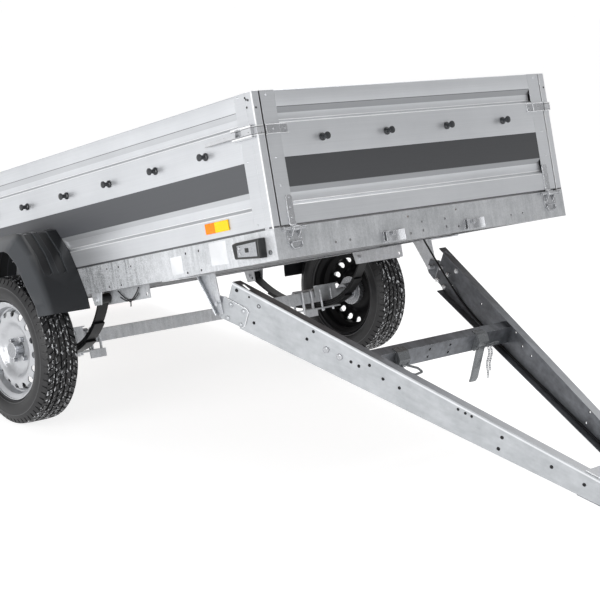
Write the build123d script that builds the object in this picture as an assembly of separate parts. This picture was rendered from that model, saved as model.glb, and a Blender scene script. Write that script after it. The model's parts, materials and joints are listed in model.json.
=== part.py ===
from build123d import *
from math import asin, atan2, cos, degrees, hypot, pi, radians, sin, tan
import os

# Tipping utility trailer, in millimetres, stored with its bed tipped and its drawbar nose on the ground.
# Every piece of the bed is drawn in the bed's frame: X forward from the front face, Y to the left from
# the centreline, Z up from the underside. Pieces of the drawbar are drawn in the drawbar's frame.

# Clearances
fit = 0.3            # between pieces that are bolted or welded face to face
running = 5.0        # between pieces that move past each other
pin_play = 0.5       # radial, round a hinge pin

# Load box
bed_length = 2700.0
bed_width = 1380.0
beam_height = 97.0
board_height = 430.0
board_thickness = 25.0
board_sheet = 1.0
beam_sheet = 2.5
beam_top_flange = 30.0
beam_bottom_flange = 40.0
floor_drop = 13.0
floor_ledge = 26.0
floor_thickness = 12.0
post_side = 28.0
post_depth = 34.0
post_wall = 2.5
cap_side = 90.5          # where a side board's ribs stop, from the front face
cap_front = 92.0         # where an end board's ribs stop, from the side face

# Board profile: lower edge of each groove above the bed's underside, its slopes and flat, and its depth
groove_depth = 10.0
groove_table = (
    # lower edge, lower slope, flat, upper slope
    (163.0, 12.0, 28.0, 18.0),
    (423.0, 10.0, 21.0, 19.0),
)

# Bolt holes in the beams: distance behind the front face or in from the side face, height, radius
beam_hole_radius = 4.5
side_beam_holes = (
    (957, 77), (883, 77), (805, 70), (959, 13), (883, 12), (475, 76), (401, 76), (402, 12), (479, 11),
)
front_beam_holes = (
    (245, 29), (308, 29), (580, 78), (641, 54), (581, 20), (641, 24),
    (752, 53), (754, 25), (812, 79), (813, 20), (1085, 32), (1147, 33),
)

# Tarpaulin knobs
knob_height = 367.0
knob_pitch = 286.3
knob_first = 279.0
knob_proud = 30.0
knob_base_radius = 13.0
knob_neck_radius = 7.0
knob_head_radius = 12.0

# Board hinges and corner latches
hinge_inset = 79.0
hinge_out = 10.0
hinge_above_beam = -7.0
hinge_pin_radius = 5.0
hinge_eye_wall = 3.5
hinge_eye_width = 26.0
hinge_ear = 3.0
hinge_pin_half = 45.0
hinge_disc_radius = 33.0
hinge_disc_drop = 28.0
strap_width = 26.0
strap_length = 96.0
strap_sheet = 3.0
latch_height = 405.0
latch_hook_height = 30.0
latch_sheet = 3.0
latch_body = (-112.0, -13.0)
latch_body_height = 41.0
latch_body_depth = 16.0
latch_window = (-93.0, -60.0)
latch_lever_end = -259.0
keeper_sheet = 2.0
keeper_lip = 7.0
keeper_reach = 121.0
hook_reach = 88.0

# Catches on the front beam and the tip latches on the drawbar that pull down on them
tip_latch_y = 194.0
catch_half = 42.5
catch_low = 4.0
catch_high = 39.0

# Wheels and axle
axle_behind_middle = 28.0
axle_z = -158.0
axle_tube_side = 50.0
axle_tube_wall = 3.0
axle_tube_beyond = 10.0
stub_radius = 20.0
track_beyond = 143.0
tyre_radius = 273.5
tyre_width = 155.0
tread_width = 125.0
tread_depth = 6.0
tread_grooves = (-34.0, -11.0)
groove_half = 3.5
rim_lip_radius = 182.0
rim_seat_radius = 165.0
rim_half_width = 62.0
rim_hole_radius = 12.5
rim_hole_circle = 138.0
rim_hole_count = 16
hub_radius = 62.0
cap_radius = 30.0
wheel_bolt_circle = 49.0
wheel_bolt_count = 4

# Leaf springs
spring_inset = 40.0
spring_width = 45.0
leaf_thickness = 8.0
leaf_gap = 0.3
leaf_spans = (1.0, 0.7, 0.42)
spring_seat_half = 34.0
front_eye_ahead = 308.0
rear_eye_behind = 435.0
eye_z = -24.0
eye_radius = 18.0
eye_bore = 9.0
u_bolt_radius = 5.0
u_bolt_places = (-30.0, 30.0, 82.0, 132.0)
saddle_half = 62.0
saddle_reach = (-7.0, 46.0)
u_bolt_bend = 7.0
u_bolt_gap = 1.5

# Fenders
ridge_beyond = 22.0
lip_beyond = 70.0
ridge_round = 12.0
shoulder_beyond = 14.4
shoulder_share = 0.385     # of the way from the ridge down to the lip
fender_wall = 3.5
channel_half = 19.0
channel_depth = 5.0
channel_end = 109.0
channel_offsets = (62.0, 122.0)
fender_bottom = -52.0
bracket_apart = 300.0
bracket_width = 40.0
bracket_sheet = 4.0

# Drawbar, in its own frame: X along the arms' top edge towards the nose, Z square to it
bar_pitch = 34.83
bar_origin = (0.0, -366.0)
pivot = (-551.0, -108.0)
arm_inset = 336.5
arm_taper = 0.2952
arm_rear = -568.0
arm_front = 1075.0
arm_depth_rear = 152.8
arm_depth_front = 65.0
arm_flange = 35.0
arm_sheet = 3.0
cross_tube_x = -63.0
cross_tube_top = -23.0
cross_tube_width = 40.0
cross_tube_depth = 66.0
cross_tube_wall = 3.0
hinge_plate_sheet = 4.0
hinge_plate_rear = -625.0
hinge_plate_front = -479.0
pivot_bolt_radius = 8.0
pivot_washer = 1.0
hanger_sheet = 4.0
hanger_low = -145.0
hanger_flange = 24.0
hanger_lean = 16.0
nose_plate_rear = 730.0
nose_plate_sheet = 5.0
ball_radius = 25.0
socket_x = 1205.0
socket_z = -48.0
head_wall = 4.5
head_skirt = 12.0
head_neck_top = -10.0
head_neck_half = 21.0

# Lead to the lamps, clipped along the left arm, with its plug parked in the arm's channel
cable_radius = 3.5
plug_radius = 17.0
plug_length = 65.0
plug_rear = 830.0

half_width = bed_width / 2
hinge_z = beam_height + hinge_above_beam
board_bottom = beam_height + running
board_top = beam_height + board_height
mid_x = -bed_length / 2
axle_x = mid_x - axle_behind_middle
track_half = half_width + track_beyond
spring_y = half_width - spring_inset
front_eye = (axle_x + front_eye_ahead, eye_z)
rear_eye = (axle_x - rear_eye_behind, eye_z)
fender_inner = half_width
fender_ridge = track_half + ridge_beyond
fender_lip = track_half + lip_beyond
arm_spread = half_width - arm_inset


def prism(points, start, end, along):
    """A straight prism on an outline given in the two axes other than the one it runs along."""
    spread = {
        "x": lambda p: (start, p[0], p[1]),
        "y": lambda p: (p[0], start, p[1]),
        "z": lambda p: (p[0], p[1], start),
    }[along]
    way = {"x": (1, 0, 0), "y": (0, 1, 0), "z": (0, 0, 1)}[along]
    face = make_face(Polyline(*[spread(p) for p in points], close=True))
    return extrude(face, amount=end - start, dir=way)


def offset_line(points, distance):
    """An open run of straight lines moved to its right by a distance, with mitred corners."""
    normals = []
    for (ax, ay), (bx, by) in zip(points, points[1:]):
        length = hypot(bx - ax, by - ay)
        normals.append(((by - ay) / length, -(bx - ax) / length))
    moved = []
    for i, (x, y) in enumerate(points):
        before = normals[max(i - 1, 0)]
        after = normals[min(i, len(normals) - 1)]
        nx = before[0] + after[0]
        ny = before[1] + after[1]
        scale = distance / (1 + before[0] * after[0] + before[1] * after[1])
        moved.append((x + nx * scale, y + ny * scale))
    return moved


def inset_outline(points, distance):
    """A closed outline, drawn clockwise, moved inwards by a distance."""
    closed = [points[-1]] + list(points) + [points[0]]
    return offset_line(closed, distance)[1:-1]


def folded(points, sheet, start, end, along):
    """A folded sheet: its outer face follows the points and its thickness lies to their right."""
    return prism(list(points) + offset_line(points, sheet)[::-1], start, end, along)


def block(x, y, z):
    """A box between two ends on each axis."""
    size = (x[1] - x[0], y[1] - y[0], z[1] - z[0])
    centre = ((x[0] + x[1]) / 2, (y[0] + y[1]) / 2, (z[0] + z[1]) / 2)
    return Pos(*centre) * Box(*[abs(s) for s in size])


def rod(start, end, radius):
    """A round bar between two points."""
    line = Vector(*end) - Vector(*start)
    plane = Plane(origin=start, z_dir=line)
    return extrude(plane * Circle(radius), amount=line.length)


def left_of(shape):
    """The same piece on the other side of the centreline."""
    return mirror(shape, about=Plane.XZ)


def aft_of(shape):
    """The same piece at the other end of the bed."""
    return mirror(shape, about=Plane.YZ.offset(mid_x))


def both_sides(shape):
    return [shape, left_of(shape)]


def side_beam():
    outer = -half_width
    step = outer + beam_top_flange + 5
    section = (
        (outer + beam_bottom_flange, 0),
        (outer, 0),
        (outer, beam_height),
        (step, beam_height),
        (step, beam_height - floor_drop),
        (step + floor_ledge, beam_height - floor_drop),
    )
    clear = beam_top_flange + floor_ledge + 2
    beam = folded(section, beam_sheet, -bed_length + clear, -clear, "x")
    web = block((-bed_length, 0), (outer, outer + beam_sheet), (0, beam_height))
    holes = []
    for back, z in side_beam_holes:
        holes.append(rod((-back, outer - 1, z), (-back, outer + 5, z), beam_hole_radius))
    return beam + web - holes


def end_beam():
    section = (
        (-beam_bottom_flange, 0),
        (0, 0),
        (0, beam_height),
        (-beam_top_flange, beam_height),
        (-beam_top_flange, beam_height - floor_drop),
        (-beam_top_flange - floor_ledge, beam_height - floor_drop),
    )
    reach = half_width - beam_sheet - fit
    holes = []
    for side, z in front_beam_holes:
        y = side - half_width
        holes.append(rod((-5, y, z), (1, y, z), beam_hole_radius))
    return folded(section[::-1], beam_sheet, -reach, reach, "y") - holes


def cross_members():
    """Upright channels under the floor: at the pivot, at the axle and evenly between and behind."""
    reach = half_width - beam_top_flange - 5 - floor_ledge - fit
    top = beam_height - floor_drop
    section = ((-25, top), (-25, 4), (25, 4), (25, top))
    rear_bay = (bed_length + axle_x) / 3
    stations = (pivot[0], (pivot[0] + axle_x) / 2, axle_x, axle_x - rear_bay, axle_x - 2 * rear_bay)
    members = []
    for x in stations:
        moved = [(x + px, pz) for px, pz in section]
        members.append(folded(moved, -beam_sheet, -reach, reach, "y"))
    return members


def board_section(bottom):
    """Outline of a ribbed board: depth inward from its outer face, then height."""
    outline = [(0, bottom)]
    for low, slope_low, flat, slope_high in groove_table:
        outline += [
            (0, low),
            (groove_depth, low + slope_low),
            (groove_depth, low + slope_low + flat),
            (0, low + slope_low + flat + slope_high),
        ]
    outline += [(0, board_top - 3), (3, board_top), (board_thickness - 3, board_top)]
    outline += [(board_thickness, board_top - 3), (board_thickness, bottom)]
    return outline


def hollow_board(outline, start, end, along):
    """A roll-formed board: a hollow section of thin sheet, open at both ends."""
    cavity = inset_outline(outline, board_sheet)
    return prism(outline, start, end, along) - prism(cavity, start - 1, end + 1, along)


def cap_section(bottom):
    """Outline of the flat cap that closes a ribbed board's end."""
    return [(0, bottom), (0, board_top), (board_thickness, board_top), (board_thickness, bottom)]


def side_board():
    """Ribbed panel with a flat cap at each end."""
    bottom = beam_height + fit
    ribs = [(-half_width + d, z) for d, z in board_section(bottom)]
    flat = [(-half_width + d, z) for d, z in cap_section(bottom)]
    cap = hollow_board(flat, -cap_side + fit, -post_depth - fit, "x")
    return [hollow_board(ribs, -bed_length + cap_side, -cap_side, "x"), cap, aft_of(cap)]


def front_board():
    """Ribbed panel with a flat cap at each end."""
    ribs = [(-d, z) for d, z in board_section(board_bottom)]
    flat = [(-d, z) for d, z in cap_section(board_bottom)]
    inner = half_width - cap_front
    cap = hollow_board(flat[::-1], -half_width + post_side + running, -inner - fit, "y")
    return [hollow_board(ribs[::-1], -inner, inner, "y"), cap, left_of(cap)]


def corner_post():
    outer = block((-post_depth, 0), (-half_width, -half_width + post_side), (beam_height + fit, board_top))
    inner = block(
        (-post_depth + post_wall, -post_wall),
        (-half_width + post_wall, -half_width + post_side - post_wall),
        (beam_height - 1, board_top - 40),
    )
    return outer - inner


def knob():
    """A spool-shaped knob standing along +Z from its seat."""
    half = (
        (0, fit), (knob_base_radius, fit), (knob_base_radius, 4), (knob_neck_radius, 8),
        (knob_neck_radius, knob_proud - 9), (knob_head_radius, knob_proud - 6),
        (knob_head_radius, knob_proud - 1), (knob_head_radius - 2, knob_proud), (0, knob_proud),
    )
    face = make_face(Polyline(*[(r, 0, h) for r, h in half], close=True))
    return revolve(face, axis=Axis.Z)


def side_knobs():
    count = int((bed_length - 2 * 131) // knob_pitch) + 1
    row = []
    for i in range(count):
        x = -knob_first - i * knob_pitch
        row.append(Pos(x, -half_width, knob_height) * Rot(90, 0, 0) * knob())
    return row + [left_of(k) for k in row]


def end_knobs():
    row = []
    for i in (-1.5, -0.5, 0.5, 1.5):
        row.append(Pos(0, i * knob_pitch, knob_height) * Rot(0, 90, 0) * knob())
    return row


def hinge_bracket():
    """The half of a board hinge that stays on the beam: plate, two ears and the pin."""
    y = -half_width + hinge_inset
    half = hinge_eye_width / 2 + 1 + hinge_ear
    centre = hinge_z - hinge_disc_drop
    disc = rod((fit, y, centre), (fit + strap_sheet, y, centre), hinge_disc_radius)
    plate = disc & block((0, 10), (y - 60, y + 60), (centre - 40, hinge_z - 10))
    for side in (-1, 1):
        inner = y + side * (hinge_eye_width / 2 + 1)
        outer = y + side * half
        ear = prism(
            ((fit, hinge_z - 34), (hinge_out + 7, hinge_z - 10), (hinge_out + 8, hinge_z + 7),
             (hinge_out - 6, hinge_z + 7), (fit, hinge_z - 8)),
            min(inner, outer), max(inner, outer), "y",
        )
        plate += ear
    ends = (y - hinge_pin_half, y + hinge_pin_half)
    pin = rod((hinge_out, ends[0], hinge_z), (hinge_out, ends[1], hinge_z), hinge_pin_radius)
    head = rod((hinge_out, ends[0] - 3, hinge_z), (hinge_out, ends[0] + 1, hinge_z), hinge_pin_radius + 2)
    return plate + pin + head


def hinge_strap():
    """The half of a board hinge that turns with the board: eye and strap."""
    y = -half_width + hinge_inset
    bore = hinge_pin_radius + pin_play
    eye_outer = bore + hinge_eye_wall
    half = hinge_eye_width / 2
    eye = rod((hinge_out, y - half, hinge_z), (hinge_out, y + half, hinge_z), eye_outer)
    round_z = board_bottom + strap_length - half
    strap = block((fit, fit + strap_sheet), (y - half, y + half), (board_bottom, round_z))
    strap += rod((fit, y, round_z), (fit + strap_sheet, y, round_z), half)
    web = prism(
        ((fit, board_bottom), (fit + strap_sheet, board_bottom), (hinge_out + 4, hinge_z + 6),
         (hinge_out - 4, hinge_z + 5), (fit + 1, hinge_z + 6)),
        y - half, y + half, "y",
    )
    bore_rod = rod((hinge_out, y - half - 1, hinge_z), (hinge_out, y + half + 1, hinge_z), bore)
    return (eye + strap + web) - bore_rod


def latch_plate():
    """Keeper of the corner latch on the hinged board, with the end of the hook's strap over it."""
    low = latch_height - latch_hook_height / 2 - 1
    high = latch_height + latch_hook_height / 2 + 1
    inner = -half_width + post_side + running
    face = fit + keeper_sheet
    channel = folded(((fit + keeper_lip, low), (fit, low), (fit, high), (fit + keeper_lip, high)),
                     keeper_sheet, inner, -half_width + keeper_reach, "y")
    strap = block(
        (face - 0.5, face + latch_sheet), (inner, -half_width + hook_reach),
        (low + keeper_sheet, high - keeper_sheet),
    )
    return channel + strap


def corner_latch():
    """Toggle latch on the side board with its hook drawn round the corner post."""
    face = -half_width - fit
    outer = face - latch_body_depth
    low = latch_height - latch_hook_height / 2
    high = latch_height + latch_hook_height / 2
    half = latch_body_height / 2
    rear, front = latch_body
    body = block((rear, front), (outer, face), (latch_height - half, latch_height + half))
    body -= block((rear - 1, front + 1), (outer + latch_sheet, face - latch_sheet),
                  (latch_height - half + latch_sheet, latch_height + half - latch_sheet))
    body -= block(latch_window, (outer - 1, outer + latch_sheet + 1), (latch_height - 8, high))
    lever = prism(
        ((latch_lever_end, face - 8), (latch_lever_end, face - 12), (rear - 30, outer - 2),
         (rear + 4, outer + 1), (rear + 4, outer + latch_sheet), (rear - 30, outer + 3)),
        latch_height - 11, latch_height + 3, "z",
    )
    hook = folded(
        ((front - 4, face - latch_sheet - 1), (latch_sheet + 1, face - latch_sheet - 1),
         (latch_sheet + 1, -half_width + post_side - 3)),
        -latch_sheet, low, high, "z",
    )
    bridge = block((front - 4, front - 1), (outer + 1, face - 1), (low, high))
    return body + lever + hook + bridge


def tip_catch(y):
    """Catch on the front beam that a tip latch draws down on: two ears with a valley between."""
    valley = catch_half / 3
    plan = (
        (18, y - catch_half), (fit + 4, y - valley), (fit + 4, y + valley), (18, y + catch_half),
        (fit, y + catch_half), (fit, y - catch_half),
    )
    ears = prism(plan, catch_low, catch_high, "z")
    for side in (-1, 1):
        far = y + side * (catch_half + 1)
        near = y + side * (valley + 4)
        ears -= prism(((fit + 4, far), (14.5, far), (fit + 4.5, near)), catch_low + 3, catch_high + 1, "z")
    nose = rod((fit + 3, y, catch_high - 9), (fit + 12, y, catch_high - 9), 7)
    return ears + nose


def axle():
    half = axle_tube_side / 2
    reach = half_width + axle_tube_beyond
    tube = block((axle_x - half, axle_x + half), (-reach, reach), (axle_z - half, axle_z + half))
    inner = half - axle_tube_wall
    bore = block(
        (axle_x - inner, axle_x + inner), (-reach + 12, reach - 12), (axle_z - inner, axle_z + inner),
    )
    body = tube - bore
    for side in (-1, 1):
        body += rod(
            (axle_x, side * (reach - 6), axle_z), (axle_x, side * (track_half - 26), axle_z), stub_radius,
        )
    return body


def leaf_outline(top, front, rear, share):
    """One leaf from the side: flat where it is clamped, then an arc up towards each eye."""
    y0 = -spring_y - spring_width / 2

    def arc_points(end, sign):
        start = axle_x + sign * spring_seat_half
        run = abs(end[0] - start)
        rise = end[1] - front_top + leaf_thickness / 2
        radius = (run * run + rise * rise) / (2 * rise)
        angle = 2 * atan2(rise, run) * share
        centre = front_top - leaf_thickness / 2 + radius
        rows = []
        for r in (radius + centre_drop - leaf_thickness / 2, radius + centre_drop + leaf_thickness / 2):
            rows.append([
                (start + sign * r * sin(a), y0, centre - r * cos(a)) for a in (0, angle / 2, angle)
            ])
        return rows

    front_top = axle_z - axle_tube_side / 2 - fit
    centre_drop = front_top - top
    (f_up, f_low), (r_up, r_low) = arc_points(front, 1), arc_points(rear, -1)
    return [
        Line(r_up[0], f_up[0]), ThreePointArc(*f_up), Line(f_up[2], f_low[2]),
        ThreePointArc(*f_low[::-1]), Line(f_low[0], r_low[0]), ThreePointArc(*r_low),
        Line(r_low[2], r_up[2]), ThreePointArc(*r_up[::-1]),
    ]


def leaf_spring():
    y0, y1 = -spring_y - spring_width / 2, -spring_y + spring_width / 2
    leaves = []
    for i, share in enumerate(leaf_spans):
        top = axle_z - axle_tube_side / 2 - fit - i * (leaf_thickness + leaf_gap)
        outline = leaf_outline(top, front_eye, rear_eye, share)
        leaf = extrude(make_face(outline), amount=y1 - y0, dir=(0, 1, 0))
        if i == 0:
            for ex, ez in (front_eye, rear_eye):
                leaf += rod((ex, y0, ez), (ex, y1, ez), eye_radius)
            for ex, ez in (front_eye, rear_eye):
                leaf -= rod((ex, y0 - 1, ez), (ex, y1 + 1, ez), eye_bore)
        leaves.append(leaf)
    return leaves


def spring_hanger():
    """Plates under the side beam that carry the spring's eyes, with their bolts."""
    gap = spring_width / 2 + 2
    pieces = []
    for (ex, ez), tail in ((front_eye, 260.0), (rear_eye, 34.0)):
        outer = prism(
            ((ex - 34, -fit), (ex + 34, -fit), (ex + 22, ez - 22), (ex - 22, ez - 22)),
            -spring_y - gap - 4, -spring_y - gap, "y",
        )
        inner = prism(
            ((ex - 34, -fit), (ex + tail, -fit), (ex + tail, ez - 26), (ex - 22, ez - 26)),
            -spring_y + gap, -spring_y + gap + 4, "y",
        )
        bolt = rod(
            (ex, -spring_y - gap - 14, ez), (ex, -spring_y + gap + 14, ez), eye_bore - 0.4,
        )
        hole = rod((ex + tail - 18, -spring_y, ez - 10), (ex + tail - 18, -spring_y + gap + 10, ez - 10), 6)
        pieces.append(outer + inner + bolt - hole)
    return pieces


def axle_clamp():
    """U-bolts over the axle, the plate under the leaves and the folded saddle in front of them."""
    half = axle_tube_side / 2
    top = axle_z + half + u_bolt_gap / 3 + u_bolt_radius
    stack = len(leaf_spans) * (leaf_thickness + leaf_gap)
    plate_top = axle_z - half - fit - stack
    leg = half + u_bolt_gap + u_bolt_radius
    plate = block(
        (axle_x - leg - 14, axle_x + leg + 14),
        (-spring_y - saddle_half, -spring_y + u_bolt_places[-1] + 10), (plate_top - 6, plate_top),
    )
    sides = (-spring_y - saddle_half, -spring_y + saddle_half)
    low, high = axle_z + saddle_reach[0], axle_z + saddle_reach[1]
    plate += block((axle_x + leg - 2, axle_x + leg + 2), sides, (low, high))
    plate += block((axle_x + leg - 2, axle_x + leg + 18), sides, (high - 4, high))
    tab = prism(
        ((axle_x + leg + 8, plate_top - 1), (axle_x + leg + 14, plate_top - 1),
         (axle_x + leg + 14, plate_top - 32), (axle_x + leg + 8, plate_top - 32)),
        -spring_y + u_bolt_places[2] - 10, -spring_y + u_bolt_places[3] + 10, "y",
    )
    clamp = plate + tab
    for place in u_bolt_places:
        y = -spring_y + place
        path = FilletPolyline(
            (axle_x - leg, y, plate_top - 16), (axle_x - leg, y, top),
            (axle_x + leg, y, top), (axle_x + leg, y, plate_top - 16), radius=u_bolt_bend,
        )
        bolt = sweep(Plane(origin=path @ 0, z_dir=path % 0) * Circle(u_bolt_radius), path=path)
        clamp += bolt
    return clamp


def fender_lines():
    """Side outlines of the fender's ridge and of its outer lip, front half then mirrored."""
    ridge = ((272, fender_bottom), (268, -10), (232, 90), (196, 170), (128, 256), (98, 263))
    lip = ((261, fender_bottom), (254, -10), (206, 70), (168, 148), (122, 194), (92, 205))
    full = []
    for half in (ridge, lip):
        line = [(axle_x + d, z) for d, z in half]
        line += [(axle_x - d, z) for d, z in half[::-1]]
        full.append(line)
    return full


def fender_channels(grow):
    """What two sunk channels take out of the fender, each with rounded lower ends."""
    ridge = fender_lines()[0]
    floor = prism(offset_line(ridge, -channel_depth - grow), -fender_lip, -fender_inner + 10, "y")
    top = max(z for x, z in ridge) + 10
    x0, x1 = ridge[-1][0] - 10, ridge[0][0] + 10
    bands = []
    for offset in channel_offsets:
        y, half = -fender_inner - offset, channel_half + grow
        band = block((x0, x1), (y - half, y + half), (channel_end, top))
        band += rod((x0, y, channel_end), (x1, y, channel_end), half)
        bands.append(band - floor)
    return bands


def fender():
    """Moulded fender: flat top and crown with two sunk channels, a rounded ridge and a sloping side."""
    ridge, lip = fender_lines()
    shoulder = [
        (rx + (lx - rx) * shoulder_share, rz + (lz - rz) * shoulder_share)
        for (rx, rz), (lx, lz) in zip(ridge, lip)
    ]

    def skin(inset, grow):
        sections = []
        for line, y in ((ridge, fender_ridge - ridge_round), (shoulder, fender_ridge + shoulder_beyond),
                        (lip, fender_lip + grow)):
            moved = offset_line(line, inset) if inset else line
            if grow:
                ends = ((moved[0][0], moved[0][1] - grow), (moved[-1][0], moved[-1][1] - grow))
                moved = [ends[0]] + moved + [ends[1]]
            sections.append((moved, -y))
        body = prism(sections[0][0], sections[0][1], -fender_inner - fit + grow, "y")
        faces = [make_face(Polyline(*[(x, y, z) for x, z in line], close=True)) for line, y in sections]
        return body + loft(faces[:2], ruled=True) + loft(faces[1:], ruled=True)

    outer = skin(0, 0) - fender_channels(0)
    return outer - (skin(-fender_wall, 2) - fender_channels(fender_wall))


def fender_bracket():
    """Two angle brackets from the beam that hold the fender's upright inner edge."""
    pieces = []
    points = ((-half_width - fit, 30), (-half_width - fit, 176), (-half_width - 34, 176))
    for side in (-1, 1):
        x = axle_x + side * bracket_apart / 2
        pieces.append(folded(points, -bracket_sheet, x - bracket_width / 2, x + bracket_width / 2, "x"))
    return pieces


def drawbar_hanger():
    """Tapered hanger under the side beam with the pivot bolt of the drawbar."""
    inner = plate_tab_outer + pivot_washer
    top_front, top_rear = pivot[0] + 6, pivot[0] - 91
    low_front, low_rear = pivot[0] + 15, pivot[0] - 19
    sections = []
    for z, front, rear in ((-fit - 1, top_front, top_rear), (hanger_low, low_front, low_rear)):
        bend = ((front, -inner), (rear, -inner), (rear + hanger_lean, -inner - hanger_flange))
        outline = list(bend) + offset_line(bend, -hanger_sheet)[::-1]
        sections.append(make_face(Polyline(*[(x, y, z) for x, y in outline], close=True)))
    angle = loft(sections, ruled=True)
    top = block((top_rear, top_front), (-half_width + 6, -inner), (-fit - hanger_sheet, -fit))
    bolt = rod((pivot[0], -inner - 16, pivot[1]), (pivot[0], -inner + 28, pivot[1]), pivot_bolt_radius)
    return angle + top + bolt


# Marker lamp on the side beam, as seen from the side, and the reflector on the board above it
lamp_outline = ((-48.0, 77.0), (-51.0, 14.0), (-181.0, 24.0), (-186.0, 73.0), (-167.0, 76.0))
lamp_depth = 30.0
lamp_edge = 4.0
reflector_x = (-339.0, -215.0)
reflector_z = (121.0, 156.0)
reflector_depth = 6.0


def marker_lamp():
    face = -half_width - fit
    body = prism(lamp_outline, face - lamp_depth, face, "y")
    return chamfer(body.faces().sort_by(Axis.Y)[0].edges(), lamp_edge)


def side_reflector():
    face = -half_width - fit
    body = block(reflector_x, (face - reflector_depth, face), reflector_z)
    return chamfer(body.faces().sort_by(Axis.Y)[0].edges(), 2)


def rear_lamp():
    front = -bed_length - fit
    outer = -half_width + hinge_inset + 36
    body = block((front - 38, front), (outer, outer + 220), (2, 80))
    return chamfer(body.edges().filter_by(Axis.X), 10)


def tyre():
    half = tyre_width / 2
    tread = tread_width / 2
    shoulder = tyre_radius - 12
    profile = [
        (rim_seat_radius + 2 * fit, -rim_half_width + 15),
        (rim_seat_radius + 6 + 2 * fit, -rim_half_width + 10.4),
        (rim_lip_radius + 2 * fit, -rim_half_width + 6.2),
        (rim_lip_radius + 3 * fit, -rim_half_width + 2),
        (rim_lip_radius + 10, -half + 7),
        (rim_lip_radius + 38, -half),
        (shoulder - 22, -half + 3),
        (shoulder, -half + 12),
        (tyre_radius - 3, -tread), (tyre_radius, -tread + 16),
    ]
    for y in tread_grooves:
        profile += [
            (tyre_radius, y - groove_half), (tyre_radius - tread_depth, y - groove_half),
            (tyre_radius - tread_depth, y + groove_half), (tyre_radius, y + groove_half),
        ]
    full = profile + [(r, -y) for r, y in profile[::-1]]
    face = make_face(Polyline(*[(r, y, 0) for r, y in full], close=True))
    return revolve(face, axis=Axis.Y)


def rim():
    """Pressed wheel: barrel between two lips and a dished disc with a ring of holes; outside is -Y."""
    w = rim_half_width
    seat = rim_seat_radius
    outer = [
        (rim_lip_radius, -w), (rim_lip_radius, -w + 5), (seat + 6, -w + 9), (seat, -w + 14),
        (seat - 4, -w + 40), (seat - 18, -w + 48), (seat - 18, w - 52), (seat - 2, w - 40),
        (seat, w - 14), (seat + 6, w - 9), (rim_lip_radius, w - 5), (rim_lip_radius, w),
    ]
    sheet = 3.0
    inner = [(r - sheet, y) for r, y in outer]
    barrel_line = outer + inner[::-1]
    disc_line = [
        (seat - 7, -12), (seat - 22, -38), (118, -44), (104, -40), (88, -22), (70, -16), (32, -16),
    ]
    disc = disc_line + [(r, y + 4) for r, y in disc_line[::-1]]
    shape = None
    for line in (barrel_line, disc):
        turned = revolve(make_face(Polyline(*[(r, y, 0) for r, y in line], close=True)), axis=Axis.Y)
        shape = turned if shape is None else shape + turned
    cutters = []
    for i in range(rim_hole_count):
        angle = 2 * pi * (i + 0.5) / rim_hole_count
        x, z = rim_hole_circle * cos(angle), rim_hole_circle * sin(angle)
        cutters.append(rod((x, -w, z), (x, 0, z), rim_hole_radius))
    return shape - cutters


def hub():
    """Hub flange behind the disc, dust cap through it and four wheel bolts."""
    body = rod((0, -12 + fit, 0), (0, 14, 0), hub_radius)
    body += rod((0, 10, 0), (0, 60, 0), 34.0)
    body += rod((0, -52, 0), (0, -8, 0), cap_radius)
    body -= rod((0, 20, 0), (0, 61, 0), stub_radius + fit)
    for i in range(wheel_bolt_count):
        angle = 2 * pi * (i + 0.5) / wheel_bolt_count
        x, z = wheel_bolt_circle * cos(angle), wheel_bolt_circle * sin(angle)
        body += rod((x, -34, z), (x, -16 - fit, z), 9.0)
    return body


# The drawbar pieces follow, in the drawbar's frame
def arm_y(x):
    """Outer face of the right arm's web at a place along the drawbar."""
    return -(arm_spread - arm_taper * x)


def arm_bottom(x):
    share = (x - arm_rear) / (arm_front - arm_rear)
    return -(arm_depth_rear + (arm_depth_front - arm_depth_rear) * share)


plate_tab_inner = arm_spread - arm_taper * arm_rear + 0.5
plate_tab_outer = plate_tab_inner + hinge_plate_sheet

flange_start = -500.0
top_slot = (-545.0, -505.0)
web_holes = (
    # along the arm, below its top edge, radius
    (-545, 22, 6.0), (-494, 22, 3.0), (-453, 102, 5.0), (-237, 21, 5.0), (-252, 58, 5.0),
    (-82, 54, 5.0), (-52, 54, 5.0), (-18, 32, 5.0), (39, 53, 5.0), (100, 53, 5.0),
    (303, 19, 4.0), (329, 19, 4.0), (351, 18, 4.0), (462, 33, 5.5), (463, 75, 5.5),
    (634, 41, 5.5), (743, 41, 5.5),
)


def arm():
    faces = []
    for x in (arm_rear, arm_front):
        y, low, t = arm_y(x), arm_bottom(x), arm_sheet
        outline = (
            (y, 0), (y + arm_flange, 0), (y + arm_flange, -t), (y + t, -t),
            (y + t, low + t), (y + arm_flange, low + t), (y + arm_flange, low), (y, low),
        )
        faces.append(make_face(Polyline(*[(x, py, pz) for py, pz in outline], close=True)))
    channel = loft(faces, ruled=True)
    low = arm_bottom(arm_rear)
    notch = ((arm_rear - 5, low + 19), (flange_start, low + 9), (flange_start, low - 20), (arm_rear - 5, low - 20))
    cutters = [prism(notch, arm_y(arm_rear) - 10, arm_y(flange_start) + arm_flange + 20, "y")]
    middle = arm_y(top_slot[0]) + arm_flange * 0.6
    cutters.append(block(top_slot, (middle - 6, middle + 6), (-10, 10)))
    for x, down, radius in web_holes:
        y = arm_y(x)
        cutters.append(rod((x, y - 12, -down), (x, y + 12, -down), radius))
    return channel - cutters


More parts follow.
